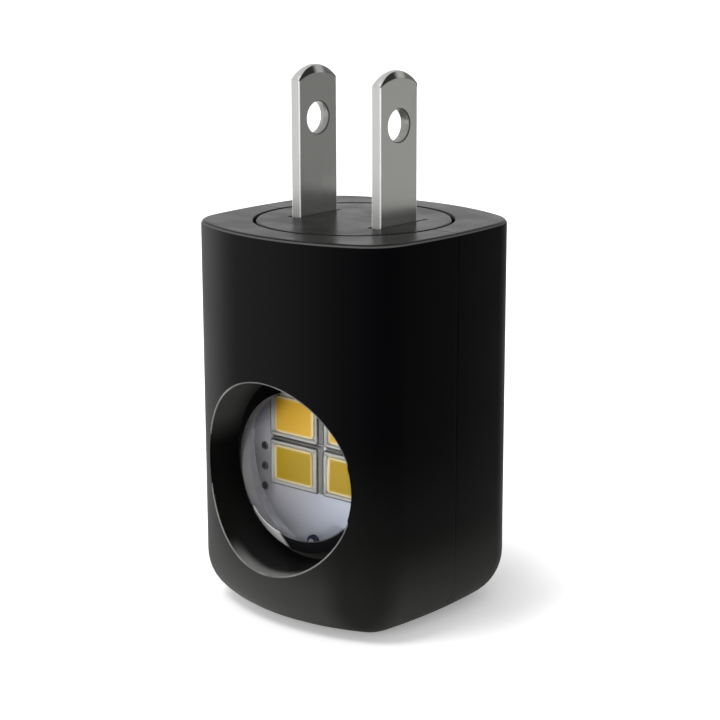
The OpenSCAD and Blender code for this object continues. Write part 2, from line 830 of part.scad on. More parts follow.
module plug_disc() {
    color("#222224") difference() {
        rotate_extrude() {
            edge_profile(disc_r, disc_r, flange_top, body_h, 0, disc_edge_r);
            translate([0, flange_z]) square([flange_r, flange_t]);
            difference() {
                translate([0, disc_z]) square([barrel_r, barrel_h]);
                translate([ring_seat_r, (disc_z + flange_z - ring_section_d) / 2])
                    square([ring_section_d, ring_section_d]);
            }
            translate([0, contact_z - hub_tail]) square([hub_r, disc_z - contact_z + hub_tail]);
        }
        blade_slot(line_x, slot_room * slot_run_shares[0]);
        blade_slot(neutral_x, slot_room * slot_run_shares[1]);
        for (turn = [0, 180]) rotate_extrude(angle = pocket_a, start = 90 - pocket_a / 2 + turn)
            translate([disc_pocket_in_r, disc_z - over]) square([disc_pocket_w, disc_pocket_h + over]);
    }
}

module friction_ring() {
    color("#101012") translate([0, 0, (disc_z + flange_z) / 2])
        rotate_extrude() translate([ring_r, 0]) circle(ring_section_d / 2);
}

// One blade: a rounded, bevelled tip, a hole, and a foot under the disc that points to +X
module blade(x) {
    tip_z = body_h + blade_l;
    arc_z = tip_z - tip_r;
    bevel_end = tip_bevel_r + tip_bevel_h;
    difference() {
        union() {
            intersection() {
                translate([x - blade_t / 2, -blade_w / 2, arc_z]) cube([blade_t, blade_w, tip_r]);
                translate([x - blade_t, 0, arc_z]) rotate([0, 90, 0]) cylinder(r = tip_r, h = 2 * blade_t);
                translate([x, 0, tip_z - bevel_end]) rotate([0, 90, 0]) rotate_extrude() polygon([
                    [0, -blade_t / 2], [tip_bevel_r, -blade_t / 2], [bevel_end, -tip_t / 2],
                    [bevel_end, tip_t / 2], [tip_bevel_r, blade_t / 2], [0, blade_t / 2]]);
            }
            translate([x - blade_t / 2, -blade_w / 2, foot_z])
                cube([blade_t, blade_w, arc_z - foot_z]);
            translate([x - blade_t / 2, -blade_w / 2, foot_z])
                cube([blade_t + foot_l, blade_w, blade_t]);
        }
        translate([x, 0, body_h + blade_hole_z]) rotate([0, 90, 0])
            cylinder(r = blade_hole_d / 2, h = blade_t + 2 * over, center = true);
        translate([x + blade_t / 2 + foot_l - brush_inset, 0, foot_z - over])
            cylinder(r = rivet_r + fit, h = blade_t + 2 * over);
    }
}

module line_blade() {
    color("#b7b9bb") blade(line_x);
}

module neutral_blade() {
    color("#b7b9bb") blade(neutral_x);
}

// A bowed spring leaf whose crown is riveted under the foot and whose ends slide on a track
module brush(x) {
    color("#c9893f") translate([x, 0, foot_z - brush_r]) difference() {
        intersection() {
            rotate([0, 90, 0]) difference() {
                cylinder(r = brush_r, h = brush_w, center = true);
                cylinder(r = brush_r - brush_t, h = brush_w + over, center = true);
            }
            translate([-brush_w, -brush_reach, brush_r - brush_bow])
                cube([2 * brush_w, 2 * brush_reach, brush_bow]);
        }
        cylinder(r = rivet_r + fit, h = brush_r + over);
    }
}

module line_brush() {
    brush(line_brush_x);
}

module neutral_brush() {
    brush(neutral_brush_x);
}

module brush_rivets() {
    color("#b8bcc2") for (x = [line_brush_x, neutral_brush_x])
        translate([x, 0, foot_z - brush_t - rivet_head_gap - rivet_head_t]) {
            cylinder(r = rivet_head_r, h = rivet_head_t);
            cylinder(r = rivet_r, h = rivet_head_t + rivet_head_gap + brush_t + blade_t);
        }
}

front_shell();
rear_shell();
dome_lens();
lens_holder();
led_board();
led_packages();
led_phosphors();
light_sensor();
header_pins();
header_strip();
driver_board();
smoothing_capacitor();
film_capacitor();
fuse_resistor();
bridge_rectifier();
driver_chip();
chip_resistors();
contact_board();
inner_track();
outer_track();
line_lead();
neutral_lead();
solder_joints();
plug_disc();
friction_ring();
line_blade();
neutral_blade();
line_brush();
neutral_brush();
brush_rivets();
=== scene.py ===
# %% [markdown]
# # A plug-in night light
# The real thing is a small black box with a two-blade plug that turns in its top, and a light board behind
# a clear lens in a deep round window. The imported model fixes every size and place. This notebook dresses it:
# pieces with fine edges take the place of the plain ones, and every piece gets its finish.

# %% Load the frame
import math

import bmesh
import bpy
from mathutils import Matrix, Vector


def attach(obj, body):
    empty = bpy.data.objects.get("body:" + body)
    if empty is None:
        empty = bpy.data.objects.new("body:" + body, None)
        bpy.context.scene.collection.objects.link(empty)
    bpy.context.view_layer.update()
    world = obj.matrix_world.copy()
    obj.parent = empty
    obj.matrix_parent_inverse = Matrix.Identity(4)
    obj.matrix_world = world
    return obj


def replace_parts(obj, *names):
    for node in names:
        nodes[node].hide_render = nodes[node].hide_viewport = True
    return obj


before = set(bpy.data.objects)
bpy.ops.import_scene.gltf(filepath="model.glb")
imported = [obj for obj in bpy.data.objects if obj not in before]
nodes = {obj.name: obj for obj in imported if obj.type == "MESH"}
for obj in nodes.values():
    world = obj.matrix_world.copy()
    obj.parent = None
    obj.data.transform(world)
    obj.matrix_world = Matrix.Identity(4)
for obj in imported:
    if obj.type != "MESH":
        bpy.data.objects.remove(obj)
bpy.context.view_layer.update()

MM = 0.001
print("pieces in the packed model:", len(nodes))

# %% [markdown]
# ## Sizes
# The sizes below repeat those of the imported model, because pieces with finer edges have to sit exactly where
# the plain ones are. Heights count from the foot and the window looks along -Y. Every cutting form reaches
# past the face it cuts by OVER, so that no thin skin is left there.

# %% Sizes of the body, the window and the plug
BODY_W, BODY_D, BODY_H = 31.9 * MM, 32.3 * MM, 47.6 * MM
FACE_R, SIDE_R, EDGE_R = 27.5 * MM, 67.5 * MM, 6.3 * MM
WALL, LIP_Z, COLLAR_Z = 2 * MM, 45.4 * MM, 34.5 * MM
FRONT_Y = -BODY_D / 2
WINDOW_R, WINDOW_Z, WINDOW_DEPTH = 11.55 * MM, 18.6 * MM, 7.3 * MM
FLOOR_R, APERTURE_R, OPENING_R = 11.35 * MM, 9.95 * MM, 12.1 * MM
LENS_R, LENS_DROP, LENS_SEAT = 9.85 * MM, 0.5 * MM, 8 * MM
OVER = 1 * MM
print("body", BODY_W, BODY_D, BODY_H, "window radius", WINDOW_R)

# %% [markdown]
# ## Small helpers
# Three steps come back for every piece: put a bmesh in the scene, cut one solid with another, and soften the
# sharp edges. Cutting with a Boolean keeps the cutter's exact form, as a tool in a mould does. Softening bevels
# only the edges that a rule picks by their place. Points closer than MERGE become one first.

# %% Make, cut and soften
MERGE = 0.0005 * MM


def link(ob):
    bpy.context.scene.collection.objects.link(ob)


def to_object(name, bm):
    bmesh.ops.recalc_face_normals(bm, faces=bm.faces)
    mesh = bpy.data.meshes.new(name)
    bm.to_mesh(mesh)
    bm.free()
    ob = bpy.data.objects.new(name, mesh)
    link(ob)
    return ob


def carve(solid, cutter, operation="DIFFERENCE"):
    step = solid.modifiers.new("carve", "BOOLEAN")
    step.operation, step.solver, step.object = operation, "EXACT", cutter
    bpy.context.view_layer.update()
    view = bpy.context.evaluated_depsgraph_get()
    shape = bpy.data.meshes.new_from_object(solid.evaluated_get(view))
    solid.modifiers.clear()
    solid.data = shape
    bpy.data.objects.remove(cutter)


def bevel(bm, edges, size, segments):
    bmesh.ops.bevel(bm, geom=edges, offset=size, offset_type="OFFSET", affect="EDGES", segments=segments,
                    profile=0.5, material=-1, clamp_overlap=False)


def soften(ob, size, wanted, segments=2, least=35):
    bm = bmesh.new()
    bm.from_mesh(ob.data)
    bmesh.ops.remove_doubles(bm, verts=bm.verts, dist=MERGE)
    sharp = [e for e in bm.edges
             if len(e.link_faces) == 2 and math.degrees(e.calc_face_angle(0)) > least
             and wanted(e.verts[0].co) and wanted(e.verts[1].co)]
    bevel(bm, sharp, size, segments)
    bm.to_mesh(ob.data)
    bm.free()
    return len(sharp)

# %% [markdown]
# Dressing a piece gives it its finishes, smooth shading that stops at sharp edges, and the body that it moves
# with. The Weighted Normal modifier keeps wide faces flat beside their small rounds. A piece with several
# finishes sorts its faces by a rule, which returns the number of a finish for each face.

# %% Dress a piece
def dress(ob, body, slot, *finishes, smooth_angle=30, weighted=False):
    ob.data.materials.clear()
    for mat in finishes:
        ob.data.materials.append(mat)
    ob.data.polygons.foreach_set("use_smooth", [True] * len(ob.data.polygons))
    ob.data.set_sharp_from_angle(angle=math.radians(smooth_angle))
    if weighted:
        step = ob.modifiers.new("even shading", "WEIGHTED_NORMAL")
        step.keep_sharp = True
    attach(ob, body)
    return ob


def sort_faces(ob, rule):
    for face in ob.data.polygons:
        face.material_index = rule(face)

# %% [markdown]
# A turned form, such as the disc or the window, is one outline spun round an axis. The outline is a chain of
# points as (radius, place along the axis). The spin uses merge, so that it closes on itself. A block is a box
# between two corners.

# %% Turned forms and blocks
AXIS_TURN = {"Z": Matrix.Identity(4), "Y": Matrix.Rotation(math.radians(-90), 4, "X"),
             "X": Matrix.Rotation(math.radians(90), 4, "Y")}


def turned(points, steps=96, axis="Z", at=(0, 0, 0)):
    bm = bmesh.new()
    chain = [bm.verts.new((r, 0, h)) for r, h in points]
    edges = [bm.edges.new(pair) for pair in zip(chain, chain[1:])]
    bmesh.ops.spin(bm, geom=chain + edges, cent=(0, 0, 0), axis=(0, 0, 1), dvec=(0, 0, 0),
                   angle=2 * math.pi, steps=steps, use_merge=True, use_duplicate=False)
    bmesh.ops.remove_doubles(bm, verts=bm.verts, dist=MERGE)
    bmesh.ops.dissolve_degenerate(bm, edges=bm.edges, dist=0.0001 * MM)
    bmesh.ops.transform(bm, matrix=Matrix.Translation(at) @ AXIS_TURN[axis], verts=bm.verts)
    return bm


def rod(radius, low, high):
    return [(0, low), (radius, low), (radius, high), (0, high)]


def in_mm(points):
    return [(r * MM, h * MM) for r, h in points]


def block(low, high):
    low, high = Vector(low), Vector(high)
    bm = bmesh.new()
    bmesh.ops.create_cube(bm, size=1)
    bmesh.ops.scale(bm, vec=high - low, verts=bm.verts)
    bmesh.ops.translate(bm, vec=(low + high) / 2, verts=bm.verts)
    return bm

# %% [markdown]
# ## Finishes
# Each finish is a Principled shader. What is the same all over the surface is set on its own socket, and what
# changes over the surface, such as a grain, comes from noise in object coordinates.

# %% A finish and its noise
def shader_input(mat, name):
    return mat.node_tree.nodes["Principled BSDF"].inputs[name]


def finish(name, colour, roughness, **sockets):
    mat = bpy.data.materials.new(name)
    mat.use_nodes = True
    shader_input(mat, "Base Color").default_value = (*colour, 1)
    shader_input(mat, "Roughness").default_value = roughness
    for socket, value in sockets.items():
        shader_input(mat, socket.replace("_", " ")).default_value = value
    return mat


def coordinates(tree):
    return tree.nodes.new("ShaderNodeTexCoord").outputs["Object"]


def noise(mat, scale, stretch=(1, 1, 1), detail=3.0):
    tree = mat.node_tree
    mapping = tree.nodes.new("ShaderNodeMapping")
    mapping.inputs["Scale"].default_value = stretch
    texture = tree.nodes.new("ShaderNodeTexNoise")
    texture.inputs["Scale"].default_value = scale
    texture.inputs["Detail"].default_value = detail
    tree.links.new(coordinates(tree), mapping.inputs["Vector"])
    tree.links.new(mapping.outputs["Vector"], texture.inputs["Vector"])
    return texture.outputs["Fac"]

# %% [markdown]
# Noise is put to three uses. It lets the gloss wander between two values, it mottles the colour, and it raises
# a fine grain. Noise stays mostly between 0.3 and 0.7, so that is the range that is spread out.

# %% Uneven gloss, mottled colour and grain
NOISE_LOW, NOISE_HIGH = 0.3, 0.7


def uneven(name, colour, gloss, scale, stretch=(1, 1, 1), detail=3.0, **sockets):
    mat = finish(name, colour, sum(gloss) / 2, **sockets)
    tree = mat.node_tree
    ramp = tree.nodes.new("ShaderNodeMapRange")
    ramp.inputs["From Min"].default_value, ramp.inputs["From Max"].default_value = NOISE_LOW, NOISE_HIGH
    ramp.inputs["To Min"].default_value, ramp.inputs["To Max"].default_value = gloss
    tree.links.new(noise(mat, scale, stretch, detail), ramp.inputs["Value"])
    tree.links.new(ramp.outputs["Result"], shader_input(mat, "Roughness"))
    return mat


def mottled(name, dark, light, roughness, scale, **sockets):
    mat = finish(name, light, roughness, **sockets)
    tree = mat.node_tree
    ramp = tree.nodes.new("ShaderNodeValToRGB")
    for stop, place, colour in zip(ramp.color_ramp.elements, (NOISE_LOW, NOISE_HIGH), (dark, light)):
        stop.position, stop.color = place, (*colour, 1)
    tree.links.new(noise(mat, scale), ramp.inputs["Fac"])
    tree.links.new(ramp.outputs["Color"], shader_input(mat, "Base Color"))
    return mat


def grain(mat, scale, depth, strength, detail=3.0):
    tree = mat.node_tree
    bump = tree.nodes.new("ShaderNodeBump")
    bump.inputs["Strength"].default_value = strength
    bump.inputs["Distance"].default_value = depth
    tree.links.new(noise(mat, scale, detail=detail), bump.inputs["Height"])
    tree.links.new(bump.outputs["Normal"], shader_input(mat, "Normal"))

# %% [markdown]
# Some finishes differ from place to place, as a frosted edge does. The place is worked out in the shader with
# Math nodes, which take a number or the output of another node on either side. An output knows its own node
# tree as id_data, so the helpers need only the values.

# %% Sums in a shader
def math_node(kind, *values):
    tree = next(value.id_data for value in values if not isinstance(value, (int, float)))
    step = tree.nodes.new("ShaderNodeMath")
    step.operation = kind
    for socket, value in zip(step.inputs, values):
        if isinstance(value, (int, float)):
            socket.default_value = value
        else:
            tree.links.new(value, socket)
    return step.outputs[0]


def times(a, b):
    return math_node("MULTIPLY", a, b)


def minus(a, b):
    return math_node("SUBTRACT", a, b)


def larger(a, b):
    return math_node("MAXIMUM", a, b)


def absolute(a):
    return math_node("ABSOLUTE", a)

# %% [markdown]
# Object coordinates say where a point of the surface is. Round the window the handier measures are radius and
# angle about its axis, and depth behind the bowed face. A fade goes from 0 to 1 between two values, and a band
# is 1 between two values and fades to 0 outside them.

# %% Places, fades and bands
def place_of(mat):
    tree = mat.node_tree
    parts = tree.nodes.new("ShaderNodeSeparateXYZ")
    tree.links.new(coordinates(tree), parts.inputs[0])
    return parts.outputs["X"], parts.outputs["Y"], parts.outputs["Z"]


def round_window(mat, centre_z):
    x, y, z = place_of(mat)
    up, x_squared = minus(z, centre_z), times(x, x)
    radius = math_node("SQRT", math_node("ADD", x_squared, times(up, up)))
    angle = math_node("DEGREES", math_node("ARCTAN2", up, x))
    bow = math_node("DIVIDE", x_squared, 2 * FACE_R)
    return radius, angle, minus(minus(y, FRONT_Y), bow)


def fade(value, start, end):
    tree = value.id_data
    step = tree.nodes.new("ShaderNodeMapRange")
    step.interpolation_type = "SMOOTHSTEP"
    step.inputs["From Min"].default_value, step.inputs["From Max"].default_value = start, end
    tree.links.new(value, step.inputs["Value"])
    return step.outputs["Result"]


def band(value, low, high, soft):
    return times(fade(value, low - soft, low), fade(value, high + soft, high))

# %% [markdown]
# Colours are mixed by such a fade or band, and the last mix of a finish is painted on as its base colour. A
# clearness or a glow is painted on in the same way.

# %% Mixed colours
def mixed(fac, first, second):
    tree = fac.id_data
    mix = tree.nodes.new("ShaderNodeMix")
    mix.data_type = "RGBA"
    for socket, colour in (("A", first), ("B", second)):
        if isinstance(colour, tuple):
            mix.inputs[socket].default_value = (*colour, 1)
        else:
            tree.links.new(colour, mix.inputs[socket])
    tree.links.new(fac, mix.inputs["Factor"])
    return mix.outputs["Result"]


def paint(mat, value, target="Base Color"):
    mat.node_tree.links.new(value, shader_input(mat, target))

# %% [markdown]
# The shells are black plastic with the fine satin of a spark-eroded mould. The grain is a tenth of a millimetre
# wide and a few thousandths deep. The colour is painted a touch paler where light falls and reflects: towards
# the foot as a painted reflection of the floor, though less at the corner nearest the camera, across the front
# and most along one front edge as a painted sheen, and in a hairline round the top edge as a painted highlight.

# %% Satin black of the shells
DEEP_BLACK = (0.0012, 0.0012, 0.0016)
shell_black = uneven("satin black shell", DEEP_BLACK, (0.38, 0.46), 140, detail=2.0, Specular_IOR_Level=0.009)
x, y, z = place_of(shell_black)
# Painted reflection of the floor: paler towards the foot, less at the corner nearest the camera.
tone = mixed(fade(z, 26 * MM, 8 * MM), DEEP_BLACK, (0.007, 0.007, 0.0066))
corner = times(fade(x, 7 * MM, 11 * MM), fade(y, -8 * MM, -12 * MM))
foot = times(minus(1.0, times(corner, 0.75)), fade(z, 13 * MM, 0.5 * MM))
foot_reflection_tone = mixed(fade(x, 12 * MM, -10 * MM), (0.044, 0.044, 0.041), (0.085, 0.085, 0.081))
tone = mixed(foot, tone, foot_reflection_tone)
# Painted sheen across the front, strongest along its far edge.
front = fade(y, -8 * MM, -13 * MM)
front_sheen = times(front, fade(x, 15 * MM, 0))
tone = mixed(times(front_sheen, 0.15), tone, (0.045, 0.045, 0.045))
far_edge_sheen = times(front, fade(x, -4 * MM, -15.5 * MM))
tone = mixed(far_edge_sheen, tone, (0.06, 0.06, 0.06))
# Painted highlight in a hairline round the top edge.
top_edge_highlight = band(z, BODY_H - 0.3 * MM, BODY_H - 0.16 * MM, 0.06 * MM)
paint(shell_black, mixed(top_edge_highlight, tone, (0.08, 0.08, 0.078)))
grain(shell_black, 9000, 0.004 * MM, 0.5, detail=1.0)
print("shell finish:", shell_black.name)

# %% [markdown]
# The top of the shells and the disc are the same black plastic with a smoother face, so they mirror a little
# more and their grain is finer and shallower.

# %% Smoother blacks of the top and the disc
top_black = uneven("smoother black top", (0.007, 0.007, 0.007), (0.24, 0.36), 160, detail=2.0,
                   Specular_IOR_Level=0.062)
grain(top_black, 6000, 0.003 * MM, 0.3, detail=1.0)
disc_black = uneven("smooth black disc", (0.004, 0.004, 0.004), (0.2, 0.32), 200, detail=2.0,
                    Specular_IOR_Level=0.045)
grain(disc_black, 5000, 0.002 * MM, 0.25, detail=1.0)
print("smoother blacks:", top_black.name, "and", disc_black.name)

# %% [markdown]
# The window's wall is smoother than the face, because the core of the mould is polished there. Its colour is
# painted paler high on one side and near its lower lip, as painted light on the wall, so its tone follows the
# angle and the depth. The lip itself is painted paler, as a painted highlight along the rim.

# %% Wall and lip of the window
wall_black = uneven("polished window wall", (0.01, 0.01, 0.01), (0.3, 0.42), 300, Specular_IOR_Level=0.05)
_, angle, depth = round_window(wall_black, WINDOW_Z)
# Painted light high on one side and a painted pool of light near the lower lip.
painted_light_high = times(band(angle, 128, 148, 26), fade(depth, 9 * MM, 3 * MM))
painted_light_low = times(band(angle, -106, -82, 24), fade(depth, 2.1 * MM, 0.5 * MM))
tone = mixed(painted_light_high, (0.006, 0.006, 0.006), (0.06, 0.06, 0.057))
paint(wall_black, mixed(painted_light_low, tone, (0.16, 0.16, 0.155)))
# Painted highlight on the rim of the window.
lip_highlight = mottled("lip with painted highlight", (0.05, 0.05, 0.05), (0.2, 0.2, 0.19), 0.4, 250, Specular_IOR_Level=0.3)
print("window finishes:", wall_black.name, "and", lip_highlight.name)

# %% [markdown]
# The blades are brass with a nickel plate. Rolled strip is dark and smooth on its wide faces, with faint lines
# along its length. Its colour is painted a little paler near the body and on the blade at the right, as painted
# light. Its sheared edges blur what they mirror, and the corners between the two carry a painted bright
# highlight. The hole has a lip painted dark as shade, and a punched wall.

# %% Plate of the blades
blade_nickel = uneven("rolled nickel plate", (0.25, 0.25, 0.245), (0.18, 0.23), 900, stretch=(1, 1, 0.03),
                      detail=2.0, Metallic=0.7)
x, _, z = place_of(blade_nickel)
# Painted light: paler near the body and on the blade at the right.
blade_base_light = fade(z, BODY_H + 5.5 * MM, BODY_H + 1 * MM)
tone = mixed(blade_base_light, (0.135, 0.135, 0.128), (0.23, 0.23, 0.22))
paint(blade_nickel, mixed(fade(x, -2 * MM, 4 * MM), tone, (0.215, 0.215, 0.205)))
blade_sheared = uneven("sheared edge of the blade", (0.41, 0.41, 0.4), (0.28, 0.36), 700,
                       stretch=(1, 1, 0.1), Metallic=0.4)
# Painted highlight on the corners between wide face and sheared edge.
blade_corner_highlight = mottled("painted highlight on the blade's corner", (0.74, 0.74, 0.73), (0.88, 0.88, 0.87), 0.3, 600,
                     Metallic=0.1)
# Painted shade on the lip of the hole.
hole_lip_shade = mottled("painted shade on the hole's lip", (0.01, 0.01, 0.01), (0.04, 0.04, 0.038), 0.4, 600, Metallic=0.3)
hole_wall = uneven("punched wall of the hole", (0.26, 0.26, 0.25), (0.26, 0.4), 900, Metallic=0.4)
print("blade finishes:", blade_nickel.name, "and", blade_sheared.name)

# %% [markdown]
# The struck bevel at a blade's tip is the darkest, like a small mirror that faces the room. A painted bright
# spot sits in its middle as a painted reflection, and one side of it is painted darker than the other as shade.

# %% Struck bevel of the tip
blade_struck = uneven("struck bevel", (0.1, 0.1, 0.1), (0.2, 0.3), 700, Metallic=1.0)
_, y, _ = place_of(blade_struck)
# Painted shade on one side and a painted reflection as a bright spot in the middle.
tone = mixed(fade(y, -1 * MM, 1.5 * MM), (0.025, 0.025, 0.025), (0.1, 0.1, 0.1))
painted_spot = band(y, 0.1 * MM, 0.6 * MM, 0.9 * MM)
paint(blade_struck, mixed(painted_spot, tone, (0.34, 0.34, 0.33)))
print("tip finish:", blade_struck.name)

# %% [markdown]
# The other metals are small and mostly hidden: very dark gold on the pins, solder, copper rings, the bronze of
# the springs and plated steel.

# %% Small metals
pin_gold = mottled("very dark gold plate", (0.012, 0.01, 0.008), (0.05, 0.038, 0.026), 0.45, 1500, Metallic=1.0)
solder_grey = uneven("solder", (0.5, 0.5, 0.5), (0.28, 0.5), 1500, Metallic=1.0)
track_copper = uneven("etched copper", (0.62, 0.29, 0.14), (0.22, 0.42), 700, Metallic=1.0)
spring_bronze = uneven("spring bronze", (0.6, 0.38, 0.17), (0.2, 0.38), 900, stretch=(1, 0.1, 1), Metallic=1.0)
rivet_steel = uneven("plated steel", (0.55, 0.56, 0.57), (0.22, 0.38), 1200, Metallic=1.0)
print("small metals:", pin_gold.name, "and", track_copper.name)

# %% [markdown]
# The lens is clear and hard. Its gloss is a coat, and its body bends light only a little, so that the lights
# behind it show where they stand. Its barrel, the straight wall behind the slanted edge, is milky.

# %% Clear lens and milky barrel
CLEAR_TONE = (0.96, 0.97, 1)
CLEAR = {"IOR": 1.02, "Transmission_Weight": 1.0, "Coat_Weight": 1.0, "Coat_Roughness": 0.03, "Coat_IOR": 1.15}
lens_clear = finish("clear lens", CLEAR_TONE, 0.02, **CLEAR)
lens_barrel = mottled("milky barrel of the lens", (0.25, 0.25, 0.27), (0.34, 0.34, 0.37), 0.4, 300)
print("lens finishes:", lens_clear.name, "and", lens_barrel.name)

# %% [markdown]
# The slanted edge changes on its way round. High on the left it is painted dark, as a painted reflection of the
# dark wall. Low on the left a white glint is painted on, with painted shade along the crease beside it. Along
# the foot it is painted black as shade, and the painted shade creeps outwards round it.
# What is only painted dark stays clear and takes a dark tone, because a half-opaque zone would look like milk.
# Only the painted glint and the black shade lose their clearness.

# %% Slanted edge of the lens
GLINT_ANGLES, CREASE_ANGLES = (-137, -100, 4), (-128, -90, 8)
FOOT_ANGLES, REFLECTION_ANGLES = (-97, -36, 5), (112, 192, 22)
lens_edge = finish("edge of the lens", CLEAR_TONE, 0.02, **CLEAR)
radius, angle, _ = round_window(lens_edge, WINDOW_Z - LENS_DROP)
around = math_node("FLOORED_MODULO", angle, 360)
dim = times(fade(radius, 6.2 * MM, 9.2 * MM), 0.85)
# Painted reflection of the dark wall, high on the left.
painted_wall_reflection = times(band(around, *REFLECTION_ANGLES), dim)
# Painted glint, low on the left.
painted_glint = times(band(angle, *GLINT_ANGLES), band(radius, 7.15 * MM, 9.7 * MM, 0.12 * MM))
# Painted shade along the foot of the lens: soft at first, then black.
at_foot = band(angle, *FOOT_ANGLES)
creep = times(math_node("ADD", angle, 91), 0.03 * MM)
reach = minus(radius, creep)
painted_soft_shade = times(at_foot, times(fade(reach, 6 * MM, 7.3 * MM), 0.6))
black = times(at_foot, fade(reach, 7.35 * MM, 7.65 * MM))
# Painted shade along the crease.
crease = times(band(angle, *CREASE_ANGLES), band(radius, 6.95 * MM, 7.05 * MM, 0.08 * MM))
painted_dark = larger(painted_wall_reflection, larger(painted_soft_shade, times(crease, 0.8)))
tone = mixed(painted_dark, CLEAR_TONE, (0.03, 0.03, 0.035))
tone = mixed(painted_glint, tone, (0.76, 0.76, 0.74))
paint(lens_edge, mixed(black, tone, (0.012, 0.012, 0.014)))
clearness = minus(1.0, larger(painted_glint, black))
paint(lens_edge, clearness, "Transmission Weight")
print("edge finish:", lens_edge.name)

# %% [markdown]
# ## The body's outline
# Seen from above, the body is four shallow bows that run into round corners, each arc tangent to the next.
# The centre of a corner lies where two arcs of known radius meet, which a triangle gives.

# %% Centres and angles of the eight arcs
face_y, side_x = FACE_R - BODY_D / 2, SIDE_R - BODY_W / 2
span = math.hypot(side_x, face_y)
along = ((FACE_R - EDGE_R) ** 2 - (SIDE_R - EDGE_R) ** 2 + span ** 2) / (2 * span)
across = math.sqrt((FACE_R - EDGE_R) ** 2 - along ** 2)
corner_x = (face_y * across - side_x * along) / span
corner_y = (face_y * along + side_x * across) / span - face_y
face_a = math.atan2(corner_x, face_y + corner_y)
side_a = math.atan2(corner_y, side_x + corner_x)
turn = math.pi / 2 - face_a - side_a
FACE_STEPS, CORNER_STEPS, SIDE_STEPS = 36, 16, 15
ARCS = [((0, face_y), 2 * face_a, FACE_STEPS), ((corner_x, -corner_y), turn, CORNER_STEPS),
        ((-side_x, 0), 2 * side_a, SIDE_STEPS), ((corner_x, corner_y), turn, CORNER_STEPS),
        ((0, -face_y), 2 * face_a, FACE_STEPS), ((-corner_x, corner_y), turn, CORNER_STEPS),
        ((side_x, 0), 2 * side_a, SIDE_STEPS), ((-corner_x, -corner_y), turn, CORNER_STEPS)]
print("corner centre", round(corner_x / MM, 2), round(corner_y / MM, 2))

# %% [markdown]
# One vertex is spun from arc to arc, so the chain is exact, and a smaller radius gives the same outline inset.

# %% One level of the outline
def outline(bm, inset, z):
    reach = FACE_R - inset
    first = bm.verts.new((-reach * math.sin(face_a), face_y - reach * math.cos(face_a), z))
    last = first
    for centre, angle, steps in ARCS:
        spun = bmesh.ops.spin(bm, geom=[last], cent=(*centre, z), axis=(0, 0, 1), dvec=(0, 0, 0),
                              angle=angle, steps=steps, use_merge=False, use_duplicate=False)
        last = next(g for g in spun["geom_last"] if isinstance(g, bmesh.types.BMVert))
    bmesh.ops.pointmerge(bm, verts=[first, last], merge_co=first.co)


def loop_at(bm, z):
    return [e for e in bm.edges if all(abs(v.co.z - z) < 1e-7 for v in e.verts)]

# %% [markdown]
# ## The body as a solid
# The outline is laid at each height, inset where the foot and the top edge are round, and neighbours are
# bridged. This keeps every level exact, which a bevel of a plain block wouldn't. The cavity is the same form,
# smaller by the wall, with a flat top.

# %% A body form from its levels
FOOT_STEPS, HEAD_STEPS = 12, 4


def quarter(steps):
    return [math.pi / 2 * k / steps for k in range(steps + 1)]


def body_form(inset, low, high, foot_r, head_r):
    levels = [(inset + foot_r * (1 - math.sin(t)), low + foot_r * (1 - math.cos(t)))
              for t in quarter(FOOT_STEPS)]
    if head_r:
        levels += [(inset + head_r * (1 - math.cos(t)), high - head_r * (1 - math.sin(t)))
                   for t in quarter(HEAD_STEPS)]
    else:
        levels.append((inset, high))
    bm = bmesh.new()
    for inset_here, z in levels:
        outline(bm, min(inset_here, EDGE_R - 0.005 * MM), z)
    loops = [loop_at(bm, z) for _, z in levels]
    for lower, upper in zip(loops, loops[1:]):
        bmesh.ops.bridge_loops(bm, edges=lower + upper)
    for rim in (loops[0], loops[-1]):
        bmesh.ops.edgeloop_fill(bm, edges=[e for e in rim if e.is_valid])
    return bm


body = to_object("body", body_form(0, 0, BODY_H, EDGE_R, 0.5 * MM))
cavity = to_object("cavity", body_form(WALL, WALL, LIP_Z, EDGE_R - WALL, 0))
print("faces of the body form:", len(body.data.polygons))

# %% [markdown]
# ## Shells
# The room inside is cut out of the body, all but the boss that carries the lens and the collar that holds the
# plug. The window narrows a little towards its floor, as a moulded recess has to. Behind its floor come the
# opening for the lens, which sits lower than the window, and the pocket for the lens's flange.

# %% Cut the cavity, the window and the place of the lens
BOSS_R, COLLAR_R, POCKET_R, BOSS_END = 13.45 * MM, 14.6 * MM, 12.45 * MM, LENS_SEAT + 1.35 * MM


def window_form(name, points, steps=144, drop=0):
    return to_object(name, turned(points, steps=steps, axis="Y", at=(0, FRONT_Y, WINDOW_Z - drop)))


carve(cavity, window_form("boss", rod(BOSS_R, -OVER, BOSS_END), steps=96))
carve(cavity, to_object("collar", turned(rod(COLLAR_R, COLLAR_Z, BODY_H))))
carve(body, cavity)
slope = (WINDOW_R - FLOOR_R) / WINDOW_DEPTH
window = [(0, -OVER), (WINDOW_R + slope * OVER, -OVER), (FLOOR_R, WINDOW_DEPTH), (0, WINDOW_DEPTH)]
carve(body, window_form("window", window, steps=160))
carve(body, window_form("lens opening", rod(APERTURE_R, 5 * MM, 9 * MM), drop=LENS_DROP))
carve(body, window_form("pocket", rod(POCKET_R, LENS_SEAT, BOSS_END + OVER)))
print("faces after the window:", len(body.data.polygons))

# %% [markdown]
# The bore for the plug has steps. From below they are a ledge, the seat of the contact board, the room round
# the rubber ring, the room for the disc's flange, and the opening that the disc fills.

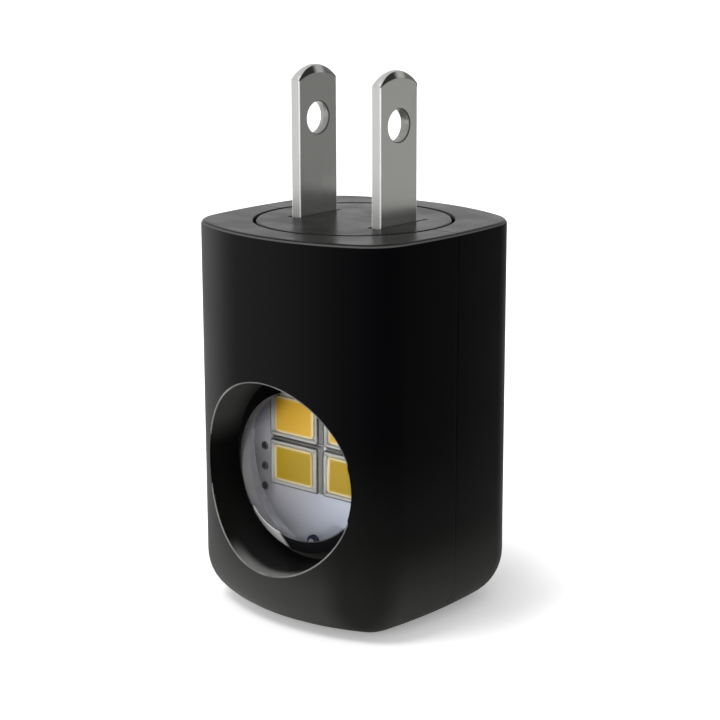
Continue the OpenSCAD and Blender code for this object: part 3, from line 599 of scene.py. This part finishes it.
# %% Cut the stepped bore
BORE_PROFILE = [(11.925, 35.7), (12.975, 35.7), (12.975, 37.35), (12.65, 37.35), (12.65, 43.4), (13.2, 43.4)]
bore = [(0, COLLAR_Z - OVER), (11.925 * MM, COLLAR_Z - OVER)]
bore += in_mm(BORE_PROFILE)
bore += [(13.2 * MM, LIP_Z), (OPENING_R, LIP_Z), (OPENING_R, BODY_H + OVER), (0, BODY_H + OVER)]
carve(body, to_object("bore", turned(bore, steps=160)))
print("faces after the bore:", len(body.data.polygons))

# %% [markdown]
# The rims that a finger would feel are rounded. These rules find them by place: the window's rim, the edge of
# the lens opening, the opening in the top, and the seam where the two halves meet.

# %% Rules that find the rims
SLACK = 0.02 * MM


def face_at(co):
    return FRONT_Y + co.x ** 2 / (2 * FACE_R)


def from_window(co):
    return math.hypot(co.x, co.z - WINDOW_Z)


def on_window_wall(co, slack=SLACK):
    off = from_window(co) - WINDOW_R + slope * (co.y - FRONT_Y)
    return abs(off) < slack and co.y < FRONT_Y + WINDOW_DEPTH + slack


def on_window_rim(co):
    return on_window_wall(co) and co.y < face_at(co) + 0.1 * MM


def near_lip(co):
    return WINDOW_R - 0.12 * MM < from_window(co) < WINDOW_R + 0.3 * MM and co.y < face_at(co) + 0.3 * MM


def on_aperture(co):
    off = math.hypot(co.x, co.z - WINDOW_Z + LENS_DROP) - APERTURE_R
    return abs(off) < SLACK and co.y < FRONT_Y + 7.5 * MM


def on_opening(co):
    return abs(math.hypot(co.x, co.y) - OPENING_R) < SLACK and co.z > BODY_H - SLACK


def on_foot(co):
    dx, dz = abs(co.x) - (BODY_W / 2 - EDGE_R), EDGE_R - co.z
    return dx > 0 and dz > 0 and math.hypot(dx, dz) > EDGE_R - 0.3 * MM


def on_seam(co):
    outer = abs(co.x) > BODY_W / 2 - 0.8 * MM or co.z < 0.8 * MM or co.z > BODY_H - SLACK
    side = co.x ** 2 / (BODY_W / 2) ** 2 > 0.7 and co.z > WALL
    return abs(co.y) < 1e-6 and (outer or on_foot(co) or side)

# %% [markdown]
# Two half spaces part the body at y = 0, and the front half, from which the rear is cut away, also has the
# rims of the window. The small rounds of both lips of the seam meet as the fine groove that shows. The faces
# are then sorted into the outside, the window's wall, its lip, and the top.

# %% Part the body and round its rims
OUTSIDE, WINDOW_WALL, LIP, TOP = range(4)
SHELL_FINISHES = (shell_black, wall_black, lip_highlight, top_black)


def shell_rule(mesh):
    def rule(face):
        corners = [mesh.vertices[i].co for i in face.vertices]
        if all(on_window_wall(co, 2 * SLACK) for co in corners):
            return WINDOW_WALL
        if all(near_lip(co) for co in corners):
            return LIP
        return TOP if face.center.z > BODY_H - 0.12 * MM else OUTSIDE
    return rule


def shell(name, cut_from, cut_to):
    half = body.copy()
    half.name, half.data = name, body.data.copy()
    link(half)
    carve(half, to_object("half space", block((-BODY_W, cut_from, -OVER), (BODY_W, cut_to, BODY_H + OVER))))
    rims = soften(half, 0.09 * MM, on_seam)
    rims += soften(half, 0.16 * MM, on_opening, segments=3)
    if cut_to > 0:
        rims += soften(half, 0.22 * MM, on_window_rim, segments=3)
        rims += soften(half, 0.08 * MM, on_aperture)
    dress(half, "housing", "shell", *SHELL_FINISHES, smooth_angle=28, weighted=True)
    sort_faces(half, shell_rule(half.data))
    print(name, "rim edges", rims, "faces", len(half.data.polygons))
    return half


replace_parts(shell("front_shell_form", 0, BODY_D), "front_shell")
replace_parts(shell("rear_shell_form", -BODY_D, 0), "rear_shell")
bpy.data.objects.remove(body)

# %% [markdown]
# ## Turning disc
# The disc, its flange, the seat of the rubber ring and its hub are one turned outline. Two slots let the
# blades through, and a short slit runs on from each of them, longer at the line blade, as on the real disc.

# %% Disc with its two slots
DISC_PROFILE = [(0, 47.6), (11.45, 47.6), (11.6, 47.56), (11.71, 47.45), (11.75, 47.3), (11.75, 45.1),
                (12.85, 45.1), (12.85, 43.7), (11.65, 43.7), (11.65, 42.85), (10.95, 42.85), (10.95, 41.45),
                (11.65, 41.45), (11.65, 40.6), (2.4, 40.6), (2.4, 34.9), (0, 34.9)]
BLADE_X, SLOT_END, CUT_LOW, CUT_HIGH = 6.35 * MM, 3.45 * MM, 39 * MM, 49 * MM
disc = to_object("plug_disc_form", turned(in_mm(DISC_PROFILE), steps=144))


def cut_disc(name, x_low, x_high, y_low, y_high):
    carve(disc, to_object(name, block((x_low, y_low, CUT_LOW), (x_high, y_high, CUT_HIGH))))


for x, run in ((BLADE_X, 1.9 * MM), (-BLADE_X, 0.6 * MM)):
    cut_disc("slot", x - 0.78 * MM, x + 0.95 * MM, -4.1 * MM, SLOT_END)
    cut_disc("slit", x + 0.45 * MM, x + 0.8 * MM, 3 * MM, SLOT_END + run)
dress(disc, "plug", "disc", disc_black, weighted=True)
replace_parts(disc, "plug_disc")
print("disc faces", len(disc.data.polygons))

# %% [markdown]
# ## Blades
# A blade is flat strip with a hole, an arc at its end and a bevel on both faces there. The arc comes from a
# cylinder and the bevels from a double cone, which gives the thin crescent that shows in the light. Each is
# joined with a long shank, so that it trims only the end of the strip.

# %% Form of a blade
TIP_Z, TIP_R, BLADE_W, BLADE_T, FOOT_Z = 65.6 * MM, 4.2 * MM, 6.6 * MM, 1.4 * MM, 39.2 * MM
BEVEL_R, BEVEL_H, TIP_T, SKIN = 6.6 * MM, 0.85 * MM, 0.62 * MM, 0.001 * MM
HOLE_R, HOLE_Z = 1.93 * MM, BODY_H + 11.65 * MM
FOOT_TOP, FOOT_REACH, SHANK = 40.6 * MM, 2.91 * MM, 30 * MM


def trim_end(blade, x, points, radius, steps):
    centre_z = TIP_Z - radius
    tool = to_object("round end", turned(points, steps=steps, axis="X", at=(x, 0, centre_z)))
    shank = block((x - BLADE_T, -radius, centre_z - SHANK), (x + BLADE_T, radius, centre_z))
    carve(tool, to_object("shank", shank), "UNION")
    carve(blade, tool, "INTERSECT")


def blade_form(name, x):
    left, right, rim = x - BLADE_T / 2, x + BLADE_T / 2, BEVEL_R + BEVEL_H
    blade = to_object(name, block((left, -BLADE_W / 2, FOOT_Z), (right, BLADE_W / 2, TIP_Z)))
    trim_end(blade, x, rod(TIP_R, -BLADE_T, BLADE_T), TIP_R, 120)
    cone = [(0, -BLADE_T / 2 - SKIN), (BEVEL_R, -BLADE_T / 2), (rim, -TIP_T / 2), (rim, TIP_T / 2),
            (BEVEL_R, BLADE_T / 2), (0, BLADE_T / 2 + SKIN)]
    trim_end(blade, x, cone, rim, 180)
    hole = turned(rod(HOLE_R, -BLADE_T, BLADE_T), steps=72, axis="X", at=(x, 0, HOLE_Z))
    carve(blade, to_object("hole", hole))
    foot = block((left, -BLADE_W / 2, FOOT_Z), (right + FOOT_REACH, BLADE_W / 2, FOOT_TOP))
    carve(blade, to_object("foot", foot), "UNION")
    return blade

# %% [markdown]
# All edges are then broken by about a tenth of a millimetre, as tumbling does. The bevel has to stop somewhere
# down in the disc, so the strip is first cut across at a hidden height, which gives its long edges a vertex
# there. Each kind of face has its own finish: wide face, sheared edge, struck bevel, corner line with its
# painted highlight, and the lip of the hole with its painted shade and the wall of the hole.

# %% Two blades
HIDDEN_Z = 42 * MM
FLAT, SHEARED, STRUCK, CORNER, HOLE_LIP, HOLE_SIDE = range(6)
BLADE_FINISHES = (blade_nickel, blade_sheared, blade_struck, blade_corner_highlight, hole_lip_shade, hole_wall)


def blade_rule(face):
    slant, from_hole = abs(face.normal.x), math.hypot(face.center.y, face.center.z - HOLE_Z)
    if slant > 0.995:
        return FLAT
    if from_hole < HOLE_R + 0.15 * MM:
        return HOLE_LIP if slant > 0.1 else HOLE_SIDE
    if 0.1 < slant < 0.97 and abs(face.normal.y) > 0.2 and face.center.z < TIP_Z - 2.2 * MM:
        return CORNER
    return STRUCK if slant > 0.8 and face.center.z > TIP_Z - 3.5 * MM else SHEARED


for node, x in (("line_blade", BLADE_X), ("neutral_blade", -BLADE_X)):
    blade = blade_form(node + "_form", x)
    bm = bmesh.new()
    bm.from_mesh(blade.data)
    bmesh.ops.bisect_plane(bm, geom=bm.verts[:] + bm.edges[:] + bm.faces[:], plane_co=(x, 0, HIDDEN_Z),
                           plane_no=(0, 0, 1))
    bm.to_mesh(blade.data)
    bm.free()
    count = soften(blade, 0.12 * MM, lambda co: co.z > HIDDEN_Z - 0.01 * MM, least=20)
    dress(blade, "plug", "blade_nickel", *BLADE_FINISHES, smooth_angle=40, weighted=True)
    sort_faces(blade, blade_rule)
    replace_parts(blade, node)
    print(blade.name, "edges broken:", count)

# %% [markdown]
# ## Lens
# The lens is one turned form: a low dome, a slanted edge, a barrel that fills the opening, and a flange behind.
# The front part sits half a millimetre lower than the flange, so its rings are moved after the spin. The ring
# between the two lies in one plane and only becomes a little wider at the top.

# %% Dome lens
LENS_FACE_R, LENS_FACE_DEPTH, LENS_EDGE_DEPTH, DOME_H = 7.2 * MM, 3.8 * MM, 6 * MM, 0.8 * MM
FLANGE_R, FLANGE_T, BROKEN, DOME_STEPS, EDGE_STEPS = 12.35 * MM, 0.9 * MM, 0.05 * MM, 16, 6
EDGE_RUN, EDGE_FALL = LENS_R - 0.15 * MM - LENS_FACE_R, LENS_EDGE_DEPTH - 0.12 * MM - LENS_FACE_DEPTH
dome_r = (LENS_FACE_R ** 2 + DOME_H ** 2) / (2 * DOME_H)
dome_angles = [math.asin(LENS_FACE_R / dome_r) * k / DOME_STEPS for k in range(DOME_STEPS + 1)]
lens_points = [(dome_r * math.sin(a), LENS_FACE_DEPTH - DOME_H + dome_r * (1 - math.cos(a)))
               for a in dome_angles]
lens_points += [(LENS_FACE_R + EDGE_RUN * k / EDGE_STEPS, LENS_FACE_DEPTH + EDGE_FALL * k / EDGE_STEPS)
                for k in range(1, EDGE_STEPS + 1)]
lens_points += [(LENS_R - 0.03 * MM, LENS_EDGE_DEPTH + 0.02 * MM), (LENS_R, LENS_EDGE_DEPTH + 0.16 * MM),
                (LENS_R, LENS_SEAT), (FLANGE_R - BROKEN, LENS_SEAT), (FLANGE_R, LENS_SEAT + BROKEN),
                (FLANGE_R, LENS_SEAT + FLANGE_T - BROKEN), (FLANGE_R - BROKEN, LENS_SEAT + FLANGE_T),
                (0, LENS_SEAT + FLANGE_T)]
lens_bm = turned(lens_points, steps=160, axis="Y", at=(0, FRONT_Y, WINDOW_Z))
front_part = [v for v in lens_bm.verts if v.co.y < FRONT_Y + LENS_SEAT + 0.01 * MM
              and from_window(v.co) < LENS_R + 0.01 * MM]
bmesh.ops.translate(lens_bm, vec=(0, 0, -LENS_DROP), verts=front_part)
print("dome radius", round(dome_r / MM, 2))

# %% [markdown]
# Its faces are sorted by radius and depth. The edge's finish begins inside the dome, where it is as clear.

# %% Finishes of the lens
THROUGH, EDGE, BARREL = range(3)


def lens_rule(face):
    r, depth = math.hypot(face.center.x, face.center.z - WINDOW_Z + LENS_DROP), face.center.y - FRONT_Y
    if r > 6 * MM and depth < LENS_EDGE_DEPTH + 0.1 * MM:
        return EDGE
    return BARREL if depth < LENS_SEAT - 0.01 * MM and r > LENS_R - 0.2 * MM else THROUGH


lens = to_object("dome_lens_form", lens_bm)
dress(lens, "housing", "clear_lens", lens_clear, lens_edge, lens_barrel, smooth_angle=20)
sort_faces(lens, lens_rule)
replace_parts(lens, "dome_lens")
print("lens faces", len(lens.data.polygons))

# %% [markdown]
# ## Light board
# The board is white solder mask, paler and cooler towards one side and painted darker towards the other as
# shade, with a darker patch round the pins. Fine dark lines on it frame each light, painted as the shade in the
# gap round each package. They are drawn in the finish from object coordinates: the distance to each frame's
# outline, cut off at half the width of a line.

# %% White board with printed frames
LENS_SPAN, BOARD_Y = 19.9 * MM, -5.45 * MM
LED_Z, LED_STEP_X, LED_STEP_Z = WINDOW_Z + 0.088 * LENS_SPAN, 0.432 * LENS_SPAN, 0.307 * LENS_SPAN
FRAME_W, FRAME_H, LINE_W = 8 * MM, 5.84 * MM, 0.14 * MM


def past_lights(x, z, width, height):
    beside = absolute(minus(absolute(x), LED_STEP_X / 2))
    above = absolute(minus(absolute(minus(z, LED_Z)), LED_STEP_Z / 2))
    return larger(minus(beside, width / 2), minus(above, height / 2))


board_white = uneven("white board", (0.66, 0.66, 0.72), (0.38, 0.52), 400)
x, _, z = place_of(board_white)
# Painted shade: darker and greyer towards one side.
tone = mixed(fade(x, -9 * MM, 11 * MM), (0.42, 0.41, 0.42), (0.66, 0.72, 0.82))
pin_patch = times(band(x, -12 * MM, -9 * MM, 1.3 * MM), band(z, 13.6 * MM, 17.3 * MM, 2.2 * MM))
tone = mixed(times(pin_patch, 0.5), tone, (0.12, 0.115, 0.11))
# Painted shade in the gap round each package, drawn as a dark line.
to_frame = absolute(past_lights(x, z, FRAME_W, FRAME_H))
line = math_node("LESS_THAN", to_frame, LINE_W / 2)
paint(board_white, mixed(line, tone, (0.02, 0.02, 0.025)))
print("board frames at", round(LED_STEP_X / MM, 2), round(LED_STEP_Z / MM, 2))

# %% [markdown]
# ## Lights
# Each light is a white moulded package with a shallow cup, filled with yellow silicone. The silicone is deeper
# in tone on the lower lights, a little cloudy, and pale along its border, where it is thin.

# %% Yellow phosphor
PAD_W, PAD_H, PAD_SHIFT, PAD_ROUND = 6.1 * MM, 4.4 * MM, 0.12 * MM, 0.4 * MM
phosphor = finish("yellow phosphor", (0.6, 0.4, 0.02), 0.35, Specular_IOR_Level=0.15)
x, _, z = place_of(phosphor)
cloud = times(noise(phosphor, 260, detail=4.0), 0.7)
lower_tone = mixed(cloud, (0.34, 0.21, 0.0), (0.5, 0.33, 0.0))
upper_tone = mixed(cloud, (0.56, 0.3, 0.01), (0.78, 0.48, 0.05))
tone = mixed(fade(z, LED_Z - 1 * MM, LED_Z + 1 * MM), lower_tone, upper_tone)
border = fade(past_lights(x, z, PAD_W, PAD_H), -0.42 * MM, -0.02 * MM)
paint(phosphor, mixed(border, tone, (0.7, 0.58, 0.32)))
grain(phosphor, 3000, 0.004 * MM, 0.5)
print("phosphor finish:", phosphor.name)

# %% [markdown]
# The package is a box with rounded corners whose top is inset and pushed in. It is drawn slightly larger than
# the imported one, the size at which it shows through the real lens. Parts that are alike go into one mesh.

# %% Form of a package
LED_W, LED_H, LED_T = LED_STEP_X - 0.8 * MM, LED_STEP_Z - 0.35 * MM, 0.8 * MM
CUP_SLANT, CUP_DEPTH = 0.12 * MM, 0.28 * MM
LIGHTS = [(sx * LED_STEP_X / 2, LED_Z + sz * LED_STEP_Z / 2) for sx in (-1, 1) for sz in (-1, 1)]
led_white = uneven("package white", (0.44, 0.42, 0.36), (0.34, 0.48), 800)
# Painted shade for the gaps between the packages.
led_gap_shade = mottled("painted shade at a package's edge", (0.015, 0.016, 0.012), (0.05, 0.052, 0.045), 0.5, 900)


def add_part(whole, part):
    mesh = bpy.data.meshes.new("part")
    part.to_mesh(mesh)
    whole.from_mesh(mesh)
    bpy.data.meshes.remove(mesh)
    part.free()


def package(x, z):
    bm = block((x - LED_W / 2, BOARD_Y - LED_T, z - LED_H / 2), (x + LED_W / 2, BOARD_Y, z + LED_H / 2))
    upright = [e for e in bm.edges if abs(e.verts[0].co.y - e.verts[1].co.y) > LED_T / 2]
    bevel(bm, upright, 0.3 * MM, 4)
    face = min(bm.faces, key=lambda f: f.calc_center_median().y)
    bmesh.ops.inset_region(bm, faces=[face], thickness=(LED_H - PAD_H) / 2 - CUP_SLANT, depth=0)
    bmesh.ops.inset_region(bm, faces=[face], thickness=CUP_SLANT, depth=-CUP_DEPTH)
    return bm

# %% [markdown]
# The top's edges are softened once the four are together, and that bevel is painted dark as the shade in the
# gaps between the packages.

# %% Four packages
def package_rule(face):
    at, tilt = face.center, abs(face.normal.y)
    outer = min(max(abs(at.x - x) / LED_W, abs(at.z - z) / LED_H) for x, z in LIGHTS) > 0.45
    return 1 if outer and at.y < BOARD_Y - LED_T + 0.22 * MM and 0.05 < tilt < 0.97 else 0


packages = bmesh.new()
for x, z in LIGHTS:
    add_part(packages, package(x, z))
led_forms = to_object("led_packages_form", packages)
soften(led_forms, 0.2 * MM, lambda co: co.y < BOARD_Y - LED_T + 0.01 * MM)
dress(led_forms, "housing", "led_body", led_white, led_gap_shade, weighted=True)
sort_faces(led_forms, package_rule)
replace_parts(led_forms, "led_packages")
print("packages", round(LED_W / MM, 2), round(LED_H / MM, 2))

# %% [markdown]
# The silicone of a light is a grid that is pinned at its border and raised in the middle by less than half a
# tenth of a millimetre, so that it catches a soft gloss. Its corners are drawn in, and a skirt closes it
# towards the cup.

# %% Phosphor pads
PAD_RISE, PAD_SINK, SKIRT = 0.04 * MM, 0.02 * MM, 0.26 * MM


def pad(at_x, at_z):
    bm = bmesh.new()
    bmesh.ops.create_grid(bm, x_segments=16, y_segments=12, size=0.5)
    bmesh.ops.transform(bm, matrix=Matrix.Rotation(math.radians(90), 4, "X"), verts=bm.verts)
    bmesh.ops.scale(bm, vec=(PAD_W, 1, PAD_H), verts=bm.verts)
    for v in bm.verts:
        u, s = 2 * v.co.x / PAD_W, 2 * v.co.z / PAD_H
        past_x = max(abs(v.co.x) - PAD_W / 2 + PAD_ROUND, 0)
        past_z = max(abs(v.co.z) - PAD_H / 2 + PAD_ROUND, 0)
        inward = 0.7 * max(0.0, math.hypot(past_x, past_z) - PAD_ROUND)
        v.co.x -= math.copysign(inward, v.co.x)
        v.co.z -= math.copysign(inward, v.co.z)
        v.co.y = -LED_T - PAD_RISE * (1 - u ** 4) * (1 - s ** 4) + PAD_SINK
    wall = bmesh.ops.extrude_edge_only(bm, edges=[e for e in bm.edges if e.is_boundary])
    for low in (g for g in wall["geom"] if isinstance(g, bmesh.types.BMVert)):
        low.co.y = -LED_T + SKIRT
    bmesh.ops.edgeloop_fill(bm, edges=[e for e in bm.edges if e.is_boundary])
    bmesh.ops.translate(bm, vec=(at_x, BOARD_Y, at_z), verts=bm.verts)
    return bm


silicone = bmesh.new()
for x, z in LIGHTS:
    add_part(silicone, pad(x + math.copysign(PAD_SHIFT, z - LED_Z), z))
pads = dress(to_object("led_phosphors_form", silicone), "housing", "phosphor", phosphor, smooth_angle=50)
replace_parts(pads, "led_phosphors")
print("phosphor faces", len(pads.data.polygons))

# %% [markdown]
# ## Sensor and pins
# Under the lights sits the dusk sensor, a dark round body with a pale dome, turned in one go.

# %% Dusk sensor
HOLDER_R = 11.55 * MM
sensor_at = (-0.155 * HOLDER_R, BOARD_Y, WINDOW_Z - 0.905 * HOLDER_R)
sensor_dark = uneven("dark resin", (0.02, 0.024, 0.05), (0.18, 0.3), 600)
sensor_pale = uneven("pale resin", (0.45, 0.45, 0.5), (0.15, 0.3), 600)
sensor_points = [(0, 0), (0.9, 0), (0.9, -0.32), (0.82, -0.4), (0.55, -0.4)]
sensor_points += [(max(0.55 * math.cos(a), 0), -0.4 - 0.45 * math.sin(a)) for a in quarter(8)[1:]]
sensor = to_object("light_sensor_form", turned(in_mm(sensor_points), steps=48, axis="Y", at=sensor_at))
dress(sensor, "housing", "sensor_dark", sensor_dark, sensor_pale)
sort_faces(sensor, lambda face: 1 if face.center.y < BOARD_Y - 0.55 * MM else 0)
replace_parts(sensor, "light_sensor")
print("sensor at height", round(sensor_at[2] / MM, 2))

# %% [markdown]
# Left of the lights the ends of three pins stick out of the board. The pins are square wire with cut ends, so
# the ends are chamfered. Each has a ring of solder, a shallow cone that is turned round it, painted dark as the
# shade round the pin.

# %% Header pins and their rings
PIN_W, PIN_OUT, PIN_END = 0.64 * MM, 0.3 * MM, 2.15 * MM
RING = [(0.34, 0), (0.55, 0), (0.52, -0.06), (0.34, -0.16), (0.34, 0)]
pin_x, pin_top, pin_step = -(HOLDER_R - PIN_W) * 0.9, WINDOW_Z + 0.1 * MM, (HOLDER_R - PIN_W) * 0.235
# Painted shade: the solder rings are coloured near black.
pin_ring_shade = uneven("solder ring painted dark as shade", (0.06, 0.06, 0.065), (0.4, 0.6), 1800, Metallic=0.6)


def pin(z):
    bm = block((pin_x - PIN_W / 2, BOARD_Y - PIN_OUT, z - PIN_W / 2),
               (pin_x + PIN_W / 2, PIN_END, z + PIN_W / 2))
    ends = [e for f in bm.faces if abs(f.normal.y) > 0.9 for e in f.edges]
    bevel(bm, ends, 0.12 * MM, 2)
    return bm


pins, rings = bmesh.new(), bmesh.new()
for k in range(3):
    pin_z = pin_top - k * pin_step
    add_part(pins, pin(pin_z))
    add_part(rings, turned(in_mm(RING), steps=32, axis="Y", at=(pin_x, BOARD_Y, pin_z)))
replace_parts(dress(to_object("header_pins_form", pins), "housing", "gold_pin", pin_gold), "header_pins")
dress(to_object("pin_rings", rings), "housing", "solder", pin_ring_shade)
print("pins at", round(pin_x / MM, 2), "step", round(pin_step / MM, 2))

# %% [markdown]
# ## Pieces that keep their packed form
# Everything else is hidden inside. Each piece keeps its solid and gets a finish of its kind, such as circuit
# green, epoxy or rubber, with a slightly mottled colour and a fine grain.

# %% Finishes of the inner pieces
def plain(name, colour, roughness):
    mat = mottled(name, [c * 0.86 for c in colour], [c * 1.14 for c in colour], roughness, 700)
    grain(mat, 3500, 0.003 * MM, 0.4)
    return mat


inner = {
    "led_board": board_white,
    "lens_holder": plain("holder white", (0.6, 0.6, 0.62), 0.5),
    "header_strip": plain("header black", (0.015, 0.015, 0.017), 0.5),
    "driver_board": plain("board green", (0.03, 0.13, 0.06), 0.4),
    "contact_board": plain("contact board green", (0.03, 0.13, 0.06), 0.4),
    "smoothing_capacitor": plain("capacitor sleeve", (0.04, 0.06, 0.16), 0.3),
    "film_capacitor": plain("dipped epoxy", (0.4, 0.07, 0.03), 0.3),
    "fuse_resistor": plain("flameproof coat", (0.07, 0.14, 0.09), 0.6),
    "bridge_rectifier": plain("rectifier resin", (0.015, 0.015, 0.017), 0.45),
    "driver_chip": plain("chip resin", (0.018, 0.018, 0.02), 0.5),
    "chip_resistors": plain("resistor ceramic", (0.03, 0.03, 0.035), 0.4),
    "inner_track": track_copper, "outer_track": track_copper,
    "line_lead": plain("black sleeve", (0.02, 0.02, 0.02), 0.5),
    "neutral_lead": plain("white sleeve", (0.6, 0.6, 0.58), 0.5),
    "solder_joints": solder_grey,
    "friction_ring": plain("ring rubber", (0.012, 0.012, 0.012), 0.7),
    "line_brush": spring_bronze, "neutral_brush": spring_bronze, "brush_rivets": rivet_steel}
for node, mat in inner.items():
    nodes[node].data.materials.clear()
    nodes[node].data.materials.append(mat)
print("packed pieces dressed:", len(inner))

# %% [markdown]
# ## Floor
# The floor is a plain pale sheet. It takes the real shadow of the light, and a little emission lifts it towards
# white, less near the foot, so that a painted shade round the foot adds to the real shadow. Only the camera,
# reflections and rays through the lens meet that emission.

# %% Floor
def seen(tree):
    path = tree.nodes.new("ShaderNodeLightPath").outputs
    return larger(larger(path["Is Camera Ray"], path["Is Glossy Ray"]), path["Is Transmission Ray"])


bm = bmesh.new()
bmesh.ops.create_grid(bm, x_segments=1, y_segments=1, size=3)
floor = to_object("floor", bm)
paper = finish("white paper", (0.93, 0.93, 0.93), 0.9, Specular_IOR_Level=0.0, Emission_Color=(1, 1, 1, 1))
tree = paper.node_tree
distance = tree.nodes.new("ShaderNodeVectorMath")
distance.operation = "LENGTH"
tree.links.new(coordinates(tree), distance.inputs[0])
# Painted shade round the foot: the lift is smaller near it.
away_from_foot = fade(distance.outputs["Value"], 18 * MM, 36 * MM)
lift = math_node("ADD", times(away_from_foot, 0.4), 0.26)
paint(paper, times(seen(tree), lift), "Emission Strength")
floor.data.materials.append(paper)
print("floor finish:", paper.name)

# %% [markdown]
# ## Light
# A white world fills all round, and looks brighter than it lights, so that the backdrop stays white. Three soft
# lamps shape the box: one high in front for the main light, one low on the left for the sheen on that side, and
# one in front on the right.

# %% World and lamps
world = bpy.data.worlds.new("studio")
bpy.context.scene.world = world
world.use_nodes = True
tree = world.node_tree
back = tree.nodes["Background"]
back.inputs["Color"].default_value = (1, 1, 1, 1)
tree.links.new(math_node("ADD", times(seen(tree), 0.4), 0.6), back.inputs["Strength"])


def lamp(name, at, aim, size, power):
    light = bpy.data.lights.new(name, "AREA")
    light.shape, light.size, light.energy = "DISK", size, power
    ob = bpy.data.objects.new(name, light)
    link(ob)
    ob.location = at
    ob.rotation_euler = (Vector(aim) - Vector(at)).to_track_quat("-Z", "Y").to_euler()


lamp("top lamp", (-0.09, -0.27, 0.55), (0, 0, 0.02), 0.2, 1.5)
lamp("left lamp", (-0.6, -0.1, 0.13), (0, 0, 0.03), 0.4, 1.0)
lamp("front lamp", (0.16, -0.55, 0.15), (0, 0, 0.02), 0.35, 1.1)

# %% [markdown]
# ## Camera
# The camera stands where the photographer stood: 41 degrees round to the right and 14 degrees up, about 23 cm
# away. Its place was solved from the corners of the blades, the window and the outline of the body. The solved
# focal length is in pixels, and becomes millimetres of a sensor as wide as the picture.

# %% Camera
AZIMUTH, ELEVATION, ROLL = math.radians(41.2773), math.radians(13.6979), math.radians(-0.1583)
DISTANCE, MOVE_RIGHT, MOVE_DOWN = 234.162 * MM, 0.6844 * MM, 16.947 * MM
FOCAL_PIXELS, PICTURE_PIXELS, SENSOR_MM = 1957.10, 720, 36
away = Vector((math.sin(AZIMUTH) * math.cos(ELEVATION), -math.cos(AZIMUTH) * math.cos(ELEVATION),
               math.sin(ELEVATION)))
right = Vector((math.cos(AZIMUTH), math.sin(AZIMUTH), 0))
up = away.cross(right)
place = Vector((0, 0, BODY_H)) + away * DISTANCE + right * MOVE_RIGHT - up * MOVE_DOWN
right_rolled = right * math.cos(ROLL) + up * math.sin(ROLL)
up_rolled = up * math.cos(ROLL) - right * math.sin(ROLL)
camera = bpy.data.objects.new("camera", bpy.data.cameras.new("camera"))
link(camera)
camera.matrix_world = Matrix.Translation(place) @ Matrix((right_rolled, up_rolled, away)).transposed().to_4x4()
camera.data.sensor_fit, camera.data.sensor_width = "HORIZONTAL", SENSOR_MM
camera.data.lens = FOCAL_PIXELS / PICTURE_PIXELS * SENSOR_MM
camera.data.clip_start, camera.data.clip_end = 0.01, 10
bpy.context.scene.camera = camera
bpy.context.scene.view_settings.view_transform = "Standard"
print("camera at", [round(c, 4) for c in place])
